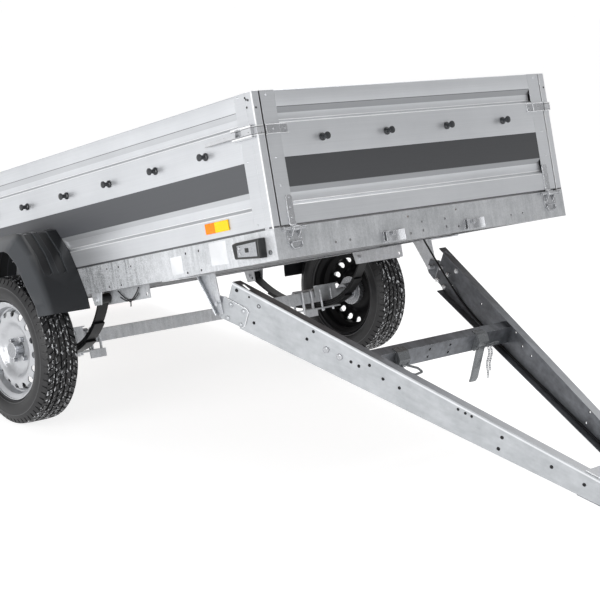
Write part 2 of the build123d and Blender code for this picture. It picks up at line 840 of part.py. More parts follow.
def cross_tube():
    half, wall = cross_tube_width / 2, cross_tube_wall
    x0, x1 = cross_tube_x - half, cross_tube_x + half
    top, low = cross_tube_top, cross_tube_top - cross_tube_depth
    reach = -arm_y(x1) - arm_sheet - fit
    rear_reach = -arm_y(x0) - arm_sheet - fit
    outline = ((x0, -rear_reach), (x1, -reach), (x1, reach), (x0, rear_reach))
    tube = prism(outline, low, top, "z")
    bore = block((x0 + wall, x1 - wall), (-400, 400), (low + wall, top - wall))
    holes = []
    for y in (-50, 50):
        for z in (top - 19, low + 17):
            holes.append(rod((x1 - 10, y, z), (x1 + 1, y, z), 5))
    return tube - bore - holes


def hinge_plate():
    """Plate on the outside of the arm's web; its rear tab is square to the pivot bolt."""
    bend = (plate_tab_inner - arm_spread - fit) / -arm_taper
    front = hinge_plate_front
    rear = hinge_plate_rear
    plan = ((rear, -plate_tab_inner), (bend, -plate_tab_inner), (front, arm_y(front) - fit))
    outline = (
        (rear, -80), (rear + 22, -74), (rear + 44, -64), (front - 10, -65), (front, -73),
        (front - 1, -130), (front - 9, -140), (rear + 46, -147), (rear + 13, -136), (rear, -124),
    )
    pivot_bar = to_bar(pivot)
    hole = rod(
        (pivot_bar[0], -plate_tab_outer - 5, pivot_bar[1]), (pivot_bar[0], arm_y(front), pivot_bar[1]),
        pivot_bolt_radius + pin_play,
    )
    sides = (-plate_tab_outer - 5, arm_y(front) + 5)
    whole = folded(plan, hinge_plate_sheet, -150, -60, "z") & prism(outline, *sides, "y")
    return whole - hole


def nose_plate(top):
    x0, x1 = nose_plate_rear, arm_front
    wide, narrow = -arm_y(x0) - 4, -arm_y(x1) - 1
    outline = ((x0, -wide), (x1, -narrow), (x1, narrow), (x0, wide))
    if top:
        return prism(outline, fit, fit + nose_plate_sheet, "z")
    low0, low1 = arm_bottom(x0) - fit, arm_bottom(x1) - fit
    faces = []
    for x, low, reach in ((x0, low0, wide), (x1, low1, narrow)):
        faces.append(make_face(Polyline(
            (x, -reach, low), (x, reach, low), (x, reach, low - nose_plate_sheet),
            (x, -reach, low - nose_plate_sheet), close=True,
        )))
    return loft(faces, ruled=True)


def coupling_head():
    """Pressed ball head: a neck between the arms and a cup that opens downwards."""
    outer = ball_radius + head_wall
    bottom = socket_z - head_skirt
    plan = []
    for x in (arm_front - 70, arm_front):
        plan.append((x, -arm_y(x) - arm_sheet - fit))
    plan += [(arm_front + 40, head_neck_half), (socket_x, head_neck_half)]
    outline = plan + [(x, -y) for x, y in plan[::-1]]
    neck = prism(outline, -arm_depth_front + 12, head_neck_top, "z")
    cup = Pos(socket_x, 0, socket_z) * Sphere(outer)
    cup += rod((socket_x, 0, bottom), (socket_x, 0, socket_z), outer)
    cup &= block((socket_x - 60, socket_x + 60), (-60, 60), (bottom, socket_z + 60))
    socket = Pos(socket_x, 0, socket_z) * Sphere(ball_radius)
    socket += rod((socket_x, 0, bottom - 5), (socket_x, 0, socket_z), ball_radius)
    return (neck + cup) - socket


def coupling_handle():
    low = head_neck_top + fit
    profile = (
        (socket_x - 34, low), (socket_x + 8, low), (socket_x + 14, low + 14), (socket_x - 10, low + 24),
        (socket_x - 130, low + 44), (socket_x - 134, low + 32), (socket_x - 40, low + 12),
    )
    return prism(profile, -14, 14, "y")


def tip_latch(y, hanging):
    """Over-centre latch on the cross tube: cheeks and a cover folded over its front top edge, a lever or loop."""
    x1 = cross_tube_x + cross_tube_width / 2
    top = cross_tube_top + fit
    cover = folded(
        ((x1 - 20, top + 3), (x1 + 8, top + 3), (x1 + 28, top - 18), (x1 + 28, top - 34)), 3, y - 25, y + 25, "y",
    )
    bracket = cover
    for side in (y - 25, y + 22):
        cheek = prism(
            ((x1 + fit, top + 1), (x1 + 8, top + 1), (x1 + 26, top - 18), (x1 + 27, top - 34),
             (x1 + 16, top - 58), (x1 + fit, top - 60)),
            side, side + 3, "y",
        )
        bracket += cheek
    pin = rod((x1 + 18, y - 29, top - 42), (x1 + 18, y + 29, top - 42), 5)
    bracket += pin
    if hanging:
        lever = prism(
            ((x1 + 12, top - 38), (x1 + 24, top - 38), (x1 + 38, top - 160), (x1 + 34, top - 178),
             (x1 + 28, top - 178), (x1 + 28, top - 160)),
            y - 15, y + 15, "y",
        )
        arm = rod((x1 + 18, y + 20, top - 42), (x1 + 22, y + 84, top - 36), 5)
        return bracket + lever + arm
    loop_z = top - 42
    path = FilletPolyline(
        (x1 + 18, y - 4, loop_z), (x1 + 52, y - 8, loop_z - 10), (x1 + 66, y + 26, loop_z - 16),
        (x1 + 60, y + 66, loop_z - 16), (x1 + 40, y + 60, loop_z - 12), (x1 + 18, y + 6, loop_z), radius=6,
    )
    loop = sweep(Plane(origin=path @ 0, z_dir=path % 0) * Circle(4), path=path)
    return bracket + loop


def channel_spot(x, clear):
    """A place in the left arm's channel where a round thing lies against the web and the lower flange."""
    aside = (clear + fit) * hypot(1, arm_taper)
    return (x, -arm_y(x) - arm_sheet - aside, arm_bottom(x) + arm_sheet + clear + 2 * fit)


def cable_route():
    """Corners of the lead's route: from the bed's underside to the arm, then along its lower flange."""
    start = to_bar((pivot[0] - 2, 1.6))
    plug = channel_spot(plug_rear, plug_radius)
    return [
        (start[0], 498, start[1]), (-470, -arm_y(-470) - arm_sheet - cable_radius - 1, -100),
        channel_spot(-249, cable_radius), channel_spot(plug_rear - 130, cable_radius),
        (plug_rear - 40, plug[1] + 40 * arm_taper, plug[2]), plug,
    ]


def corner_radii(points, share):
    """The largest even radius at each corner of a route: a share of its shorter run."""
    radii = []
    for before, at, after in zip(points, points[1:], points[2:]):
        into = Vector(*at) - Vector(*before)
        out = Vector(*after) - Vector(*at)
        turn = radians(into.get_angle(out))
        radii.append(share * min(into.length, out.length) / tan(turn / 2))
    return radii


def wiring_cable():
    route = cable_route()
    path = FilletPolyline(*route, radius=corner_radii(route, 0.45))
    return sweep(Plane(origin=path @ 0, z_dir=path % 0) * Circle(cable_radius), path=path)


def cable_plug():
    """Round plug parked in the arm's channel, with a collar at its rear and pins to the front."""
    start = Vector(*channel_spot(plug_rear + fit, plug_radius))
    end = Vector(*channel_spot(plug_rear + plug_length, plug_radius))
    way = (end - start).normalized()
    body = rod(tuple(start), tuple(start + way * plug_length * 0.4), plug_radius * 0.7)
    return body + rod(tuple(start + way * plug_length * 0.35), tuple(end), plug_radius)


def to_bar(point):
    """A place in the bed's frame, as the drawbar's frame gives it."""
    dx, dz = point[0] - bar_origin[0], point[1] - bar_origin[1]
    c, s = cos(radians(bar_pitch)), sin(radians(bar_pitch))
    return (dx * c - dz * s, dx * s + dz * c)


def to_bed(point):
    """A place in the drawbar's frame, as the bed's frame gives it."""
    c, s = cos(radians(bar_pitch)), sin(radians(bar_pitch))
    return (bar_origin[0] + point[0] * c + point[1] * s, bar_origin[1] - point[0] * s + point[1] * c)


# The bed tips until the wheels and the front rim of the coupling stand on the same ground
nose_point = to_bed((socket_x + ball_radius + head_wall, socket_z - head_skirt))
reach_x = nose_point[0] - axle_x
reach_z = nose_point[1] - axle_z
bed_tip = degrees(asin(-tyre_radius / hypot(reach_x, reach_z)) - atan2(reach_z, reach_x))

bed_place = Rot(0, -bed_tip, 0)
bar_place = bed_place * Pos(bar_origin[0], 0, bar_origin[1]) * Rot(0, bar_pitch, 0)
wheel_places = {
    "right": bed_place * Pos(axle_x, -track_half, axle_z),
    "left": bed_place * Pos(axle_x, track_half, axle_z) * Rot(0, 0, 180),
}

floor_edge = half_width - beam_top_flange - 5 - fit
floor_end = beam_top_flange + fit
floor_level = beam_height - floor_drop + fit

bed_pieces = {
    "side_beam_right": side_beam(),
    "side_beam_left": left_of(side_beam()),
    "front_beam": end_beam(),
    "rear_beam": aft_of(end_beam()),
    "cross_members": cross_members(),
    "floor_panel": block(
        (-bed_length + floor_end, -floor_end), (-floor_edge, floor_edge),
        (floor_level, floor_level + floor_thickness),
    ),
    "side_board_right": side_board(),
    "side_board_left": [left_of(b) for b in side_board()],
    "corner_posts": both_sides(corner_post()) + both_sides(aft_of(corner_post())),
    "side_knobs": side_knobs(),
    "corner_latches": both_sides(corner_latch()) + both_sides(aft_of(corner_latch())),
    "hinge_brackets": both_sides(hinge_bracket()) + both_sides(aft_of(hinge_bracket())),
    "tip_catches": [tip_catch(-tip_latch_y), tip_catch(tip_latch_y)],
    "axle": axle(),
    "leaf_springs": leaf_spring() + [left_of(leaf) for leaf in leaf_spring()],
    "spring_hangers": spring_hanger() + [left_of(h) for h in spring_hanger()],
    "axle_clamps": both_sides(axle_clamp()),
    "fender_right": fender(),
    "fender_left": left_of(fender()),
    "fender_brackets": fender_bracket() + [left_of(b) for b in fender_bracket()],
    "drawbar_hangers": both_sides(drawbar_hanger()),
    "marker_lamps": both_sides(marker_lamp()),
    "side_reflectors": both_sides(side_reflector()),
    "rear_lamps": both_sides(rear_lamp()),
    "front_board": front_board(),
    "front_board_straps": both_sides(hinge_strap()) + both_sides(latch_plate()),
    "front_board_knobs": end_knobs(),
    "rear_board": [aft_of(b) for b in front_board()],
    "rear_board_straps": both_sides(aft_of(hinge_strap())) + both_sides(aft_of(latch_plate())),
    "rear_board_knobs": [aft_of(k) for k in end_knobs()],
}

bar_pieces = {
    "arm_right": arm(),
    "arm_left": left_of(arm()),
    "cross_tube": cross_tube(),
    "hinge_plates": both_sides(hinge_plate()),
    "nose_plates": [nose_plate(True), nose_plate(False)],
    "coupling_head": coupling_head(),
    "coupling_handle": coupling_handle(),
    "tip_latches": [tip_latch(-tip_latch_y, False), tip_latch(tip_latch_y, True)],
    "wiring_cable": wiring_cable(),
    "cable_plug": cable_plug(),
}

wheel_pieces = {"tyre": tyre(), "rim": rim(), "hub": hub()}


def solids_of(piece):
    pieces = piece if isinstance(piece, list) else [piece]
    return [solid for one in pieces for solid in one.solids()]


placed = {}
for name, piece in bed_pieces.items():
    placed[name] = Compound([bed_place * s for s in solids_of(piece)])
for name, piece in bar_pieces.items():
    placed[name] = Compound([bar_place * s for s in solids_of(piece)])
for side, place in wheel_places.items():
    for name, piece in wheel_pieces.items():
        placed[name + "_" + side] = Compound([place * s for s in solids_of(piece)])

# The origin is on the ground under the middle of the whole trailer
whole = Compound(list(placed.values())).bounding_box()
origin = Pos(-(whole.min.X + whole.max.X) / 2, 0, -whole.min.Z)

if __name__ == "__main__":
    os.makedirs("parts", exist_ok=True)
    for name, shape in placed.items():
        export_step(origin * shape, "parts/" + name + ".step")
    print("bed tipped", round(bed_tip, 2), "degrees; size", whole.size)
    radii = corner_radii(cable_route(), 0.45)
    print("cable radii, in diameters:", [round(r / (2 * cable_radius)) for r in radii])
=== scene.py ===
import bpy
import bmesh
import json
import math
import numpy as np
from mathutils import Matrix, Vector


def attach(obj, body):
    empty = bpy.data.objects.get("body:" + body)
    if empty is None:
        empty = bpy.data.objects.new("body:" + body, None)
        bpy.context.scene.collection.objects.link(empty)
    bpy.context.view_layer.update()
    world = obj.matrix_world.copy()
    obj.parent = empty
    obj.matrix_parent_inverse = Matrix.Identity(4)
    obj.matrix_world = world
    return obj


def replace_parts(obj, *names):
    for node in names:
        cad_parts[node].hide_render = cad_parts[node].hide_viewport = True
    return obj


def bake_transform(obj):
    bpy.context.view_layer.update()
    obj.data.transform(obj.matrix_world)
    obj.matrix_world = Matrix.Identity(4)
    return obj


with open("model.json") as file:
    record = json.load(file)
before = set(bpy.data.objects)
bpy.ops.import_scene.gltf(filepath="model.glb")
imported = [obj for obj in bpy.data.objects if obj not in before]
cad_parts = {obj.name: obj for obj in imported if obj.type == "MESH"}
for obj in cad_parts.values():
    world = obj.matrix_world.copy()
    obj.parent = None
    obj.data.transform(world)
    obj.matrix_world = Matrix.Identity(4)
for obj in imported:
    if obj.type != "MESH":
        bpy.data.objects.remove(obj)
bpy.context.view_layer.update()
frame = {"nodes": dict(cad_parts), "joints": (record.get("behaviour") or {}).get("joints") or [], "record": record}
record = frame["record"]
mounts = {mount["name"]: mount for mount in record["mounts"]}
joints = {joint["name"]: joint for joint in frame["joints"]}
nodes = frame["nodes"]
slots = {part["node"]: part["material_slot"] for part in record["subparts"]}
bodyOf = {name: body for body, names in record["behaviour"]["bodies"].items() for name in names}
print("frame loaded", len(nodes), "nodes")

# The bed is tipped. Its own axes are X forward, Y left and Z up from the underside of its front edge,
# and they come from the load floor's normal and the pin of the front board's hinge.
bedUp = np.array(mounts["load_floor"]["axis"])
bedForward = np.array([bedUp[2], 0.0, -bedUp[0]])
left = np.array([0.0, 1.0, 0.0])
bed = dict(hingeOut=0.010, hingeUp=0.090, halfWidth=0.690, length=2.700)
bedOrigin = (np.array(joints["front_board_hinge"]["pos_m"])
             - bed["hingeOut"] * bedForward - bed["hingeUp"] * bedUp)


# place in the row frame = origin + x forward + y left + z up
def onBed(points):
    p = np.asarray(points, float)
    return bedOrigin + p[..., :1] * bedForward + p[..., 1:2] * left + p[..., 2:] * bedUp


# The drawbar's axes are the bed's, turned down by its pitch about a point under the bed's front
bar = dict(pitch=34.83, drop=-0.366, spread=0.3535, taper=0.2952, sheet=0.003)
barTurn = math.radians(bar["pitch"])
barForward = math.cos(barTurn) * bedForward - math.sin(barTurn) * bedUp
barUp = math.sin(barTurn) * bedForward + math.cos(barTurn) * bedUp
barOrigin = onBed((0, 0, bar["drop"]))


def onBar(points):
    p = np.asarray(points, float)
    return barOrigin + p[..., :1] * barForward + p[..., 1:2] * left + p[..., 2:] * barUp


camera = dict(place=(3.6314, -3.6864, -0.0582), heading=139.93, pitch=-0.905, roll=9.388, lens=91.66)


def makeCamera():
    heading, pitch, roll = (math.radians(camera[key]) for key in ("heading", "pitch", "roll"))
    ahead = np.array([
        math.cos(heading) * math.cos(pitch), math.sin(heading) * math.cos(pitch), math.sin(pitch)])
    level = np.cross(ahead, [0, 0, 1])
    level /= np.linalg.norm(level)
    under = np.cross(ahead, level)
    right = math.cos(roll) * level + math.sin(roll) * under
    up = -np.cross(ahead, right)
    turn = np.stack([onBed(axis) - bedOrigin for axis in (right, up, -ahead)], axis=1)
    matrix = Matrix.Identity(4)
    for row in range(3):
        for column in range(3):
            matrix[row][column] = turn[row, column]
    matrix.translation = Vector(onBed(camera["place"]))
    data = bpy.data.cameras.new("camera")
    data.lens = camera["lens"]
    eye = bpy.data.objects.new("camera", data)
    bpy.context.collection.objects.link(eye)
    eye.matrix_world = matrix
    bpy.context.scene.camera = eye


makeCamera()
print("camera set")


# One wire in a material. Python's operators on it add Math nodes.
class Wire:
    def __init__(self, finish, socket):
        self.finish = finish
        self.socket = socket

    def maths(self, operation, *others):
        return self.finish.node("ShaderNodeMath", {"operation": operation}, [self, *others])

    def __add__(self, other):
        return self.maths("ADD", other)

    def __radd__(self, other):
        return self.maths("ADD", other)

    def __sub__(self, other):
        return self.maths("SUBTRACT", other)

    def __rsub__(self, other):
        return self.finish.node("ShaderNodeMath", {"operation": "SUBTRACT"}, [other, self])

    def __mul__(self, other):
        return self.maths("MULTIPLY", other)

    def __rmul__(self, other):
        return self.maths("MULTIPLY", other)

    def __gt__(self, other):
        return self.maths("GREATER_THAN", other)

    def __lt__(self, other):
        return self.maths("LESS_THAN", other)

    def __abs__(self):
        return self.maths("ABSOLUTE")

    def __pow__(self, other):
        return self.maths("POWER", other)


# A tree of shader nodes: node() adds any node from its type, its settings and its sockets' values or wires.
class Tree:
    def __init__(self, tree):
        self.tree = tree

    def plug(self, socket, value):
        if isinstance(value, Wire):
            self.tree.links.new(value.socket, socket)
        elif value is not None:
            there = socket.default_value
            if hasattr(there, "__len__") and len(there) == 4 and len(value) == 3:
                value = (*value, 1.0)
            socket.default_value = value

    def node(self, kind, settings=None, values=(), out=0):
        new = self.tree.nodes.new(kind)
        for key, setting in (settings or {}).items():
            if key == "stops":
                ramp = new.color_ramp
                while len(ramp.elements) < len(setting):
                    ramp.elements.new(0.5)
                for element, (place, colour) in zip(ramp.elements, setting):
                    element.position = place
                    shade = tuple(colour) if hasattr(colour, "__len__") else (colour,) * 3
                    element.color = (*shade, 1.0)
            else:
                setattr(new, key, setting)
        pairs = values.items() if isinstance(values, dict) else enumerate(values)
        for key, value in pairs:
            self.plug(new.inputs[key], value)
        return Wire(self, new.outputs[out])

    def place(self, kind="Object"):
        return self.node("ShaderNodeTexCoord", out=kind)

    def along(self, way, origin=(0, 0, 0), kind="Object"):
        flat = self.node("ShaderNodeVectorMath", {"operation": "DOT_PRODUCT"},
                         [self.place(kind), tuple(float(w) for w in way)], out="Value")
        return flat - float(np.dot(way, origin))

    def noise(self, scale, detail=4.0, rough=0.5, vector=None, out=0):
        return self.node("ShaderNodeTexNoise", {}, {
            "Vector": vector or self.place(), "Scale": scale, "Detail": detail, "Roughness": rough}, out)

    def cells(self, scale):
        picked = self.node("ShaderNodeTexVoronoi", {}, {"Vector": self.place(), "Scale": scale}, "Color")
        return self.node("ShaderNodeSeparateColor", {}, [picked])

    # Object coordinates on the tipped bed's axes, so that a pattern runs along or up the boards
    def stretch(self, scale, axes=None):
        forward, up = axes or (bedForward, bedUp)
        wires = [self.along(way) * size for way, size in zip((forward, left, up), scale)]
        return self.node("ShaderNodeCombineXYZ", {}, wires)

    def ramp(self, factor, *stops):
        return self.node("ShaderNodeValToRGB", {"stops": stops}, [factor])

    def mix(self, factor, first, second):
        mixer = self.tree.nodes.new("ShaderNodeMix")
        mixer.data_type = "RGBA"
        for key, value in ((0, factor), (6, first), (7, second)):
            self.plug(mixer.inputs[key], value)
        return Wire(self, mixer.outputs[2])

    def bump(self, height, distance, strength=1.0, normal=None):
        return self.node("ShaderNodeBump", {}, {
            "Strength": strength, "Distance": distance, "Height": height, "Normal": normal})


class Finish(Tree):
    def __init__(self, name):
        self.material = bpy.data.materials.new(name)
        self.material.use_nodes = True
        super().__init__(self.material.node_tree)
        self.tree.nodes.clear()
        self.shader = self.tree.nodes.new("ShaderNodeBsdfPrincipled")
        out = self.tree.nodes.new("ShaderNodeOutputMaterial")
        self.tree.links.new(self.shader.outputs[0], out.inputs["Surface"])

    def done(self, **sockets):
        names = dict(colour="Base Color", rough="Roughness", metal="Metallic", normal="Normal",
                     shine="Specular IOR Level", glow="Emission Color", glowStrength="Emission Strength")
        for key, value in sockets.items():
            self.plug(self.shader.inputs[names[key]], value)
        return self.material


def between(wire, low, high):
    return (wire > low) * (wire < high)


boardLook = dict(
    # the two darkest colours paint shade into the grooves, the creases and the seam over the beams; the palest
    # paints highlights on the folds
    light=(0.66, 0.675, 0.70), dark=(0.55, 0.565, 0.59), grime=(0.13, 0.135, 0.145), gap=(0.045, 0.046, 0.05),
    bright=(0.92, 0.93, 0.94), metal=0.70, rough=0.30, line=0.0016, crease=0.0011, skin=0.0008,
    # where the ribs stop, across an end board and along a side board, and how deep an end board reaches
    ribAcross=0.597, ribAlong=(-2.609, -0.091), endDepth=0.02,
    # the seam over the beams, where shade is painted, and the corner posts' folds, where highlights are painted
    seamTop=0.1042, seamIn=0.041, corners=((0.6868, 0.692), (0.661, 0.6637)), cornerDepth=0.006,
)
# the grooves' folds above the bed's underside: lower edge, flat, flat's end, upper edge
grooves = [(0.163, 0.175, 0.203, 0.221), (0.423, 0.433, 0.454, 0.473)]
stripe = dict(low=0.221, high=0.3145, colour=(0.060, 0.063, 0.070), endShade=0.62, frontRight=-0.598,
              frontLeft=0.598, sideFront=-0.0905, sideRear=-2.6095)


# Smooth zinc sheet with fine rolling lines along each board, painted shade on the grooves' slopes (darkest on the
# upper slopes, which face down), in the creases and along the seam over the beams, painted highlights on the
# folds, and the painted stripe
def zincBoards():
    f = Finish("zincBoards")
    look = boardLook
    drift = f.noise(1.4, 3.0)
    rolled = f.noise(1.0, 3.0, vector=f.stretch((2, 2, 260)))
    smudge = f.noise(9.0, 5.0, 0.6)
    tone = 0.55 * drift + 0.25 * rolled + 0.2 * smudge
    colour = f.mix(f.ramp(tone, (0.34, 0.0), (0.66, 1.0)), look["dark"], look["light"])
    height = f.along(bedUp, bedOrigin)
    back = f.along(bedForward, bedOrigin)
    across = f.along(left)

    # 1 within the given depth of the bed's front or rear face
    def atEnds(depth):
        return (back > -depth) + (back < depth - bed["length"])

    ends = atEnds(look["endDepth"])
    ribbed = (abs(across) < look["ribAcross"]) * ends + between(back, *look["ribAlong"])
    # painted shade: darkest on the grooves' upper slopes, which face down, more so on the end boards, and lighter
    # on the lower slopes
    grime = sum(between(height, g[2], g[3]) for g in grooves) * ribbed
    edge = sum(abs(height - g[i]) < look["line"] for g in grooves for i in (0, 1)) * ribbed
    shade = sum(between(height, g[0], g[1]) for g in grooves) * ribbed
    crease = sum(abs(height - g[3]) < look["crease"] for g in grooves) * ribbed
    corner = sum(between(abs(across), *fold) for fold in look["corners"]) * atEnds(look["cornerDepth"])
    colour = f.mix(grime * (0.22 + 0.36 * ends) + 0.25 * shade, colour, look["grime"])
    middle = between(back, look["seamIn"] - bed["length"], -look["seamIn"])
    seam = (height < look["seamTop"]) * (middle + ends)
    # painted shade in the creases at the grooves' upper edges and in a line along the seam over the beams
    colour = f.mix(0.7 * crease + 0.85 * seam, colour, look["gap"])
    # painted highlights on the grooves' folds and along the corner posts' folds
    colour = f.mix(0.8 * edge + 0.75 * corner, colour, look["bright"])
    band = between(height, stripe["low"], stripe["high"])
    side = (abs(across) > bed["halfWidth"] - look["skin"]) * between(
        back, stripe["sideRear"], stripe["sideFront"])
    face = atEnds(look["skin"]) * between(across, stripe["frontRight"], stripe["frontLeft"])
    paint = band * (side + face)
    # the stripe is painted darker on the end boards than on the sides: painted shade
    coat = f.mix(face, stripe["colour"], tuple(c * stripe["endShade"] for c in stripe["colour"]))
    return f.done(
        colour=f.mix(paint, colour, coat),
        rough=look["rough"] + 0.12 * rolled + 0.14 * paint,
        metal=look["metal"] * (1 - paint),
        normal=f.bump(rolled, 0.0002, 0.2),
    )


# the worn stretch of a beam: where its marks begin, are full and end, behind the front face
zincLook = dict(light=(0.68, 0.695, 0.72), dark=(0.45, 0.465, 0.485), cell=240.0, metal=0.55,
                worn=(0.16, 0.17, 0.18), wornFrom=0.60, wornFull=0.80, wornTo=1.8)


# Hot-dip zinc: small spangle cells over clouds, with pale runs down the sheet. A beam is dull and
# coarsely marked by the wheel, where the fender's spray has dried.
# light scales the whole colour; a copy below 1 is painted darker as painted shade
def galvanised(name, light=1.0, contrast=1.0, beam=False):
    f = Finish(name)
    spangle = f.cells(zincLook["cell"])
    cloud = f.noise(26.0, 6.0, 0.66)
    patch = f.noise(5.0, 3.0)
    runs = f.noise(1.0, 3.0, 0.6, vector=f.stretch((70, 70, 7)))
    mottle = 0.10 * spangle + 0.30 * cloud + 0.25 * patch + 0.35 * runs
    colour = f.mix(f.ramp(mottle, (0.5 - 0.14 / contrast, 0.0), (0.5 + 0.12 / contrast, 1.0)),
                   tuple(c * light for c in zincLook["dark"]), tuple(c * light for c in zincLook["light"]))
    if beam:
        behind = -1.0 * f.along(bedForward, bedOrigin)
        near = f.ramp(behind, (zincLook["wornFrom"], 0.0), (zincLook["wornFull"], 1.0)) * (
            behind < zincLook["wornTo"])
        spots = f.ramp(0.6 * f.noise(230.0, 6.0, 0.75) + 0.4 * runs, (0.47, 0.0), (0.58, 1.0))
        colour = f.mix(0.8 * near * spots, colour, zincLook["worn"])
    return f.done(colour=colour, rough=0.32 + 0.20 * cloud, metal=zincLook["metal"],
                  normal=f.bump(mottle, 0.0006, 0.2))


# the colour for the channels' inner faces is painted shade, the top flange is painted from it towards the top
# colour at the front, and the bend colour is a painted highlight
armLook = dict(light=(0.45, 0.465, 0.485), dark=(0.33, 0.345, 0.36), inside=(0.105, 0.11, 0.12),
               insideLight=2.2, top=(0.52, 0.53, 0.55), bend=(0.80, 0.81, 0.83), metal=0.55, webSkin=0.0012,
               topSkin=0.0009, bendBand=(-0.0105, -0.0045), middle=0.02, fadeFrom=0.05, fadeTo=0.75)


# Drawbar channels: an even satin skin outside with a painted highlight along the upper bend, painted shade inside
# the fold, and a top flange painted from that shade to a lighter tone towards the front, as painted shade and
# light
def drawbarZinc():
    f = Finish("drawbarZinc")
    look = armLook
    brushed = f.noise(1.0, 3.0, vector=f.stretch((6, 60, 60), (barForward, barUp)))
    cloud = f.noise(9.0, 6.0, 0.62)
    stain = f.noise(38.0, 5.0, 0.7)
    tone = 0.45 * cloud + 0.30 * brushed + 0.25 * stain
    outside = f.mix(f.ramp(tone, (0.36, 0.0), (0.62, 1.0)), look["dark"], look["light"])
    inside = f.mix(f.ramp(tone, (0.40, 0.0), (0.66, 1.0)), look["inside"],
                   tuple(c * look["insideLight"] for c in look["inside"]))
    across = abs(f.along(left))
    forward = f.along(barForward, barOrigin)
    height = f.along(barUp, barOrigin)
    skin = across - bar["spread"] + bar["taper"] * forward > -look["webSkin"]
    top = (height > -look["topSkin"]) * (across > look["middle"])
    fade = f.ramp(forward, (look["fadeFrom"], 0.0), (look["fadeTo"], 1.0))
    # a painted highlight along the web's upper bend, and the top flange painted from shade at the rear to a
    # lighter tone at the front
    outside = f.mix(0.6 * between(height, *look["bendBand"]), outside, look["bend"])
    inside = f.mix(top * (0.12 + 0.88 * fade), inside, look["top"])
    return f.done(colour=f.mix(skin, inside, outside), rough=0.36 + 0.16 * stain, metal=look["metal"],
                  normal=f.bump(tone, 0.0005, 0.2))


def plastic(name, colour, rough, grain=0.00012, shine=0.4):
    f = Finish(name)
    pebble = f.noise(900.0, 2.0)
    wear = f.noise(7.0, 5.0)
    dusty = tuple(min(1, c * 1.3 + 0.004) for c in colour)
    tint = f.mix(f.ramp(wear, (0.35, 0.0), (0.75, 1.0)), colour, dusty)
    return f.done(colour=tint, rough=rough - 0.08 + 0.16 * wear, normal=f.bump(pebble, grain, 0.5),
                  shine=shine)


# the channels' middles beyond the box's side, their half width, the height of their lower ends and how far below
# it they fade in;
# then half the width of a channel edge's painted highlight, and floorIn, how far inside the painted shade on a
# channel's floor starts
fenderLook = dict(face=(0.009, 0.010, 0.012), slope=(0.062, 0.066, 0.072), sunk=(0.005, 0.005, 0.006),
                  edge=(0.042, 0.045, 0.050), beyond=(0.062, 0.122), half=0.019, ends=0.109,
                  fade=(0.022, 0.002), edgeHalf=0.0016, floorIn=0.0035, slopeFrom=0.150, slopeFull=0.176)


# Moulded fender: the outer slope is painted paler as painted sheen, and the two channels carry painted shade on
# their floors and painted highlights along their edges
def fenderPlastic():
    f = Finish("fenderPlastic")
    pebble = f.noise(700.0, 2.0)
    wear = f.noise(7.0, 5.0)
    beyond = abs(f.along(left)) - bed["halfWidth"]
    look = fenderLook
    low, full = (look["ends"] - below for below in look["fade"])
    above = f.ramp(f.along(bedUp, bedOrigin), (low, 0.0), (full, 1.0))
    apart = [abs(beyond - middle) for middle in look["beyond"]]
    edge = sum(abs(gap - look["half"]) < look["edgeHalf"] for gap in apart) * above
    sunk = sum(gap < look["half"] - look["floorIn"] for gap in apart) * above
    slope = f.ramp(beyond, (look["slopeFrom"], 0.0), (look["slopeFull"], 1.0))
    colour = f.mix(slope, look["face"], look["slope"])
    colour = f.mix(sunk, colour, look["sunk"])
    colour = f.mix(edge, colour, look["edge"])
    return f.done(colour=colour, rough=0.30 + 0.14 * wear, normal=f.bump(pebble, 0.0001, 0.4), shine=0.5)


# heights of the strap's painted highlights along its edges and of the lines of painted shade inside them
latchLook = dict(dark=(0.46, 0.47, 0.49), light=(0.62, 0.63, 0.65), line=(0.10, 0.105, 0.11),
                 rubbed=(0.93, 0.94, 0.95), edges=((0.3885, 0.3925), (0.4175, 0.4225)),
                 lines=((0.3930, 0.3955), (0.4145, 0.4170)))


# Latches of bright zinc, with painted highlights along the upper and lower edges of the strap and lines of painted
# shade just inside them
def latchZinc():
    f = Finish("latchZinc")
    cloud = f.noise(60.0, 4.0)
    height = f.along(bedUp, bedOrigin)
    edge = sum(between(height, *band) for band in latchLook["edges"])
    inner = sum(between(height, *band) for band in latchLook["lines"])
    colour = f.mix(cloud, latchLook["dark"], latchLook["light"])
    # lines of painted shade inside the strap's edges, and painted highlights on the edges
    colour = f.mix(0.75 * inner, colour, latchLook["line"])
    colour = f.mix(0.9 * edge, colour, latchLook["rubbed"])
    return f.done(colour=colour, rough=0.24 + 0.1 * cloud, metal=0.55, normal=f.bump(cloud, 0.0002, 0.2))


def steel(name, colour, rough, metal=0.7):
    f = Finish(name)
    cloud = f.noise(14.0, 5.0)
    scratch = f.noise(1.0, 2.0, vector=f.stretch((300, 40, 40)))
    tint = f.mix(f.ramp(cloud, (0.35, 0.0), (0.7, 1.0)), tuple(c * 0.86 for c in colour), colour)
    return f.done(colour=tint, rough=rough - 0.06 + 0.14 * scratch, metal=metal,
                  normal=f.bump(scratch, 0.0001, 0.2))


# radii of the tread's blocks and of the moulded rings on the wall, which carry thin painted highlights
rubberLook = dict(dark=(0.004, 0.004, 0.005), dust=(0.017, 0.017, 0.018), glint=(0.60, 0.61, 0.63),
                  ring=(0.10, 0.10, 0.105), blocks=(0.2685, 0.2745), rings=(0.1865, 0.1935, 0.2385),
                  line=0.0010)


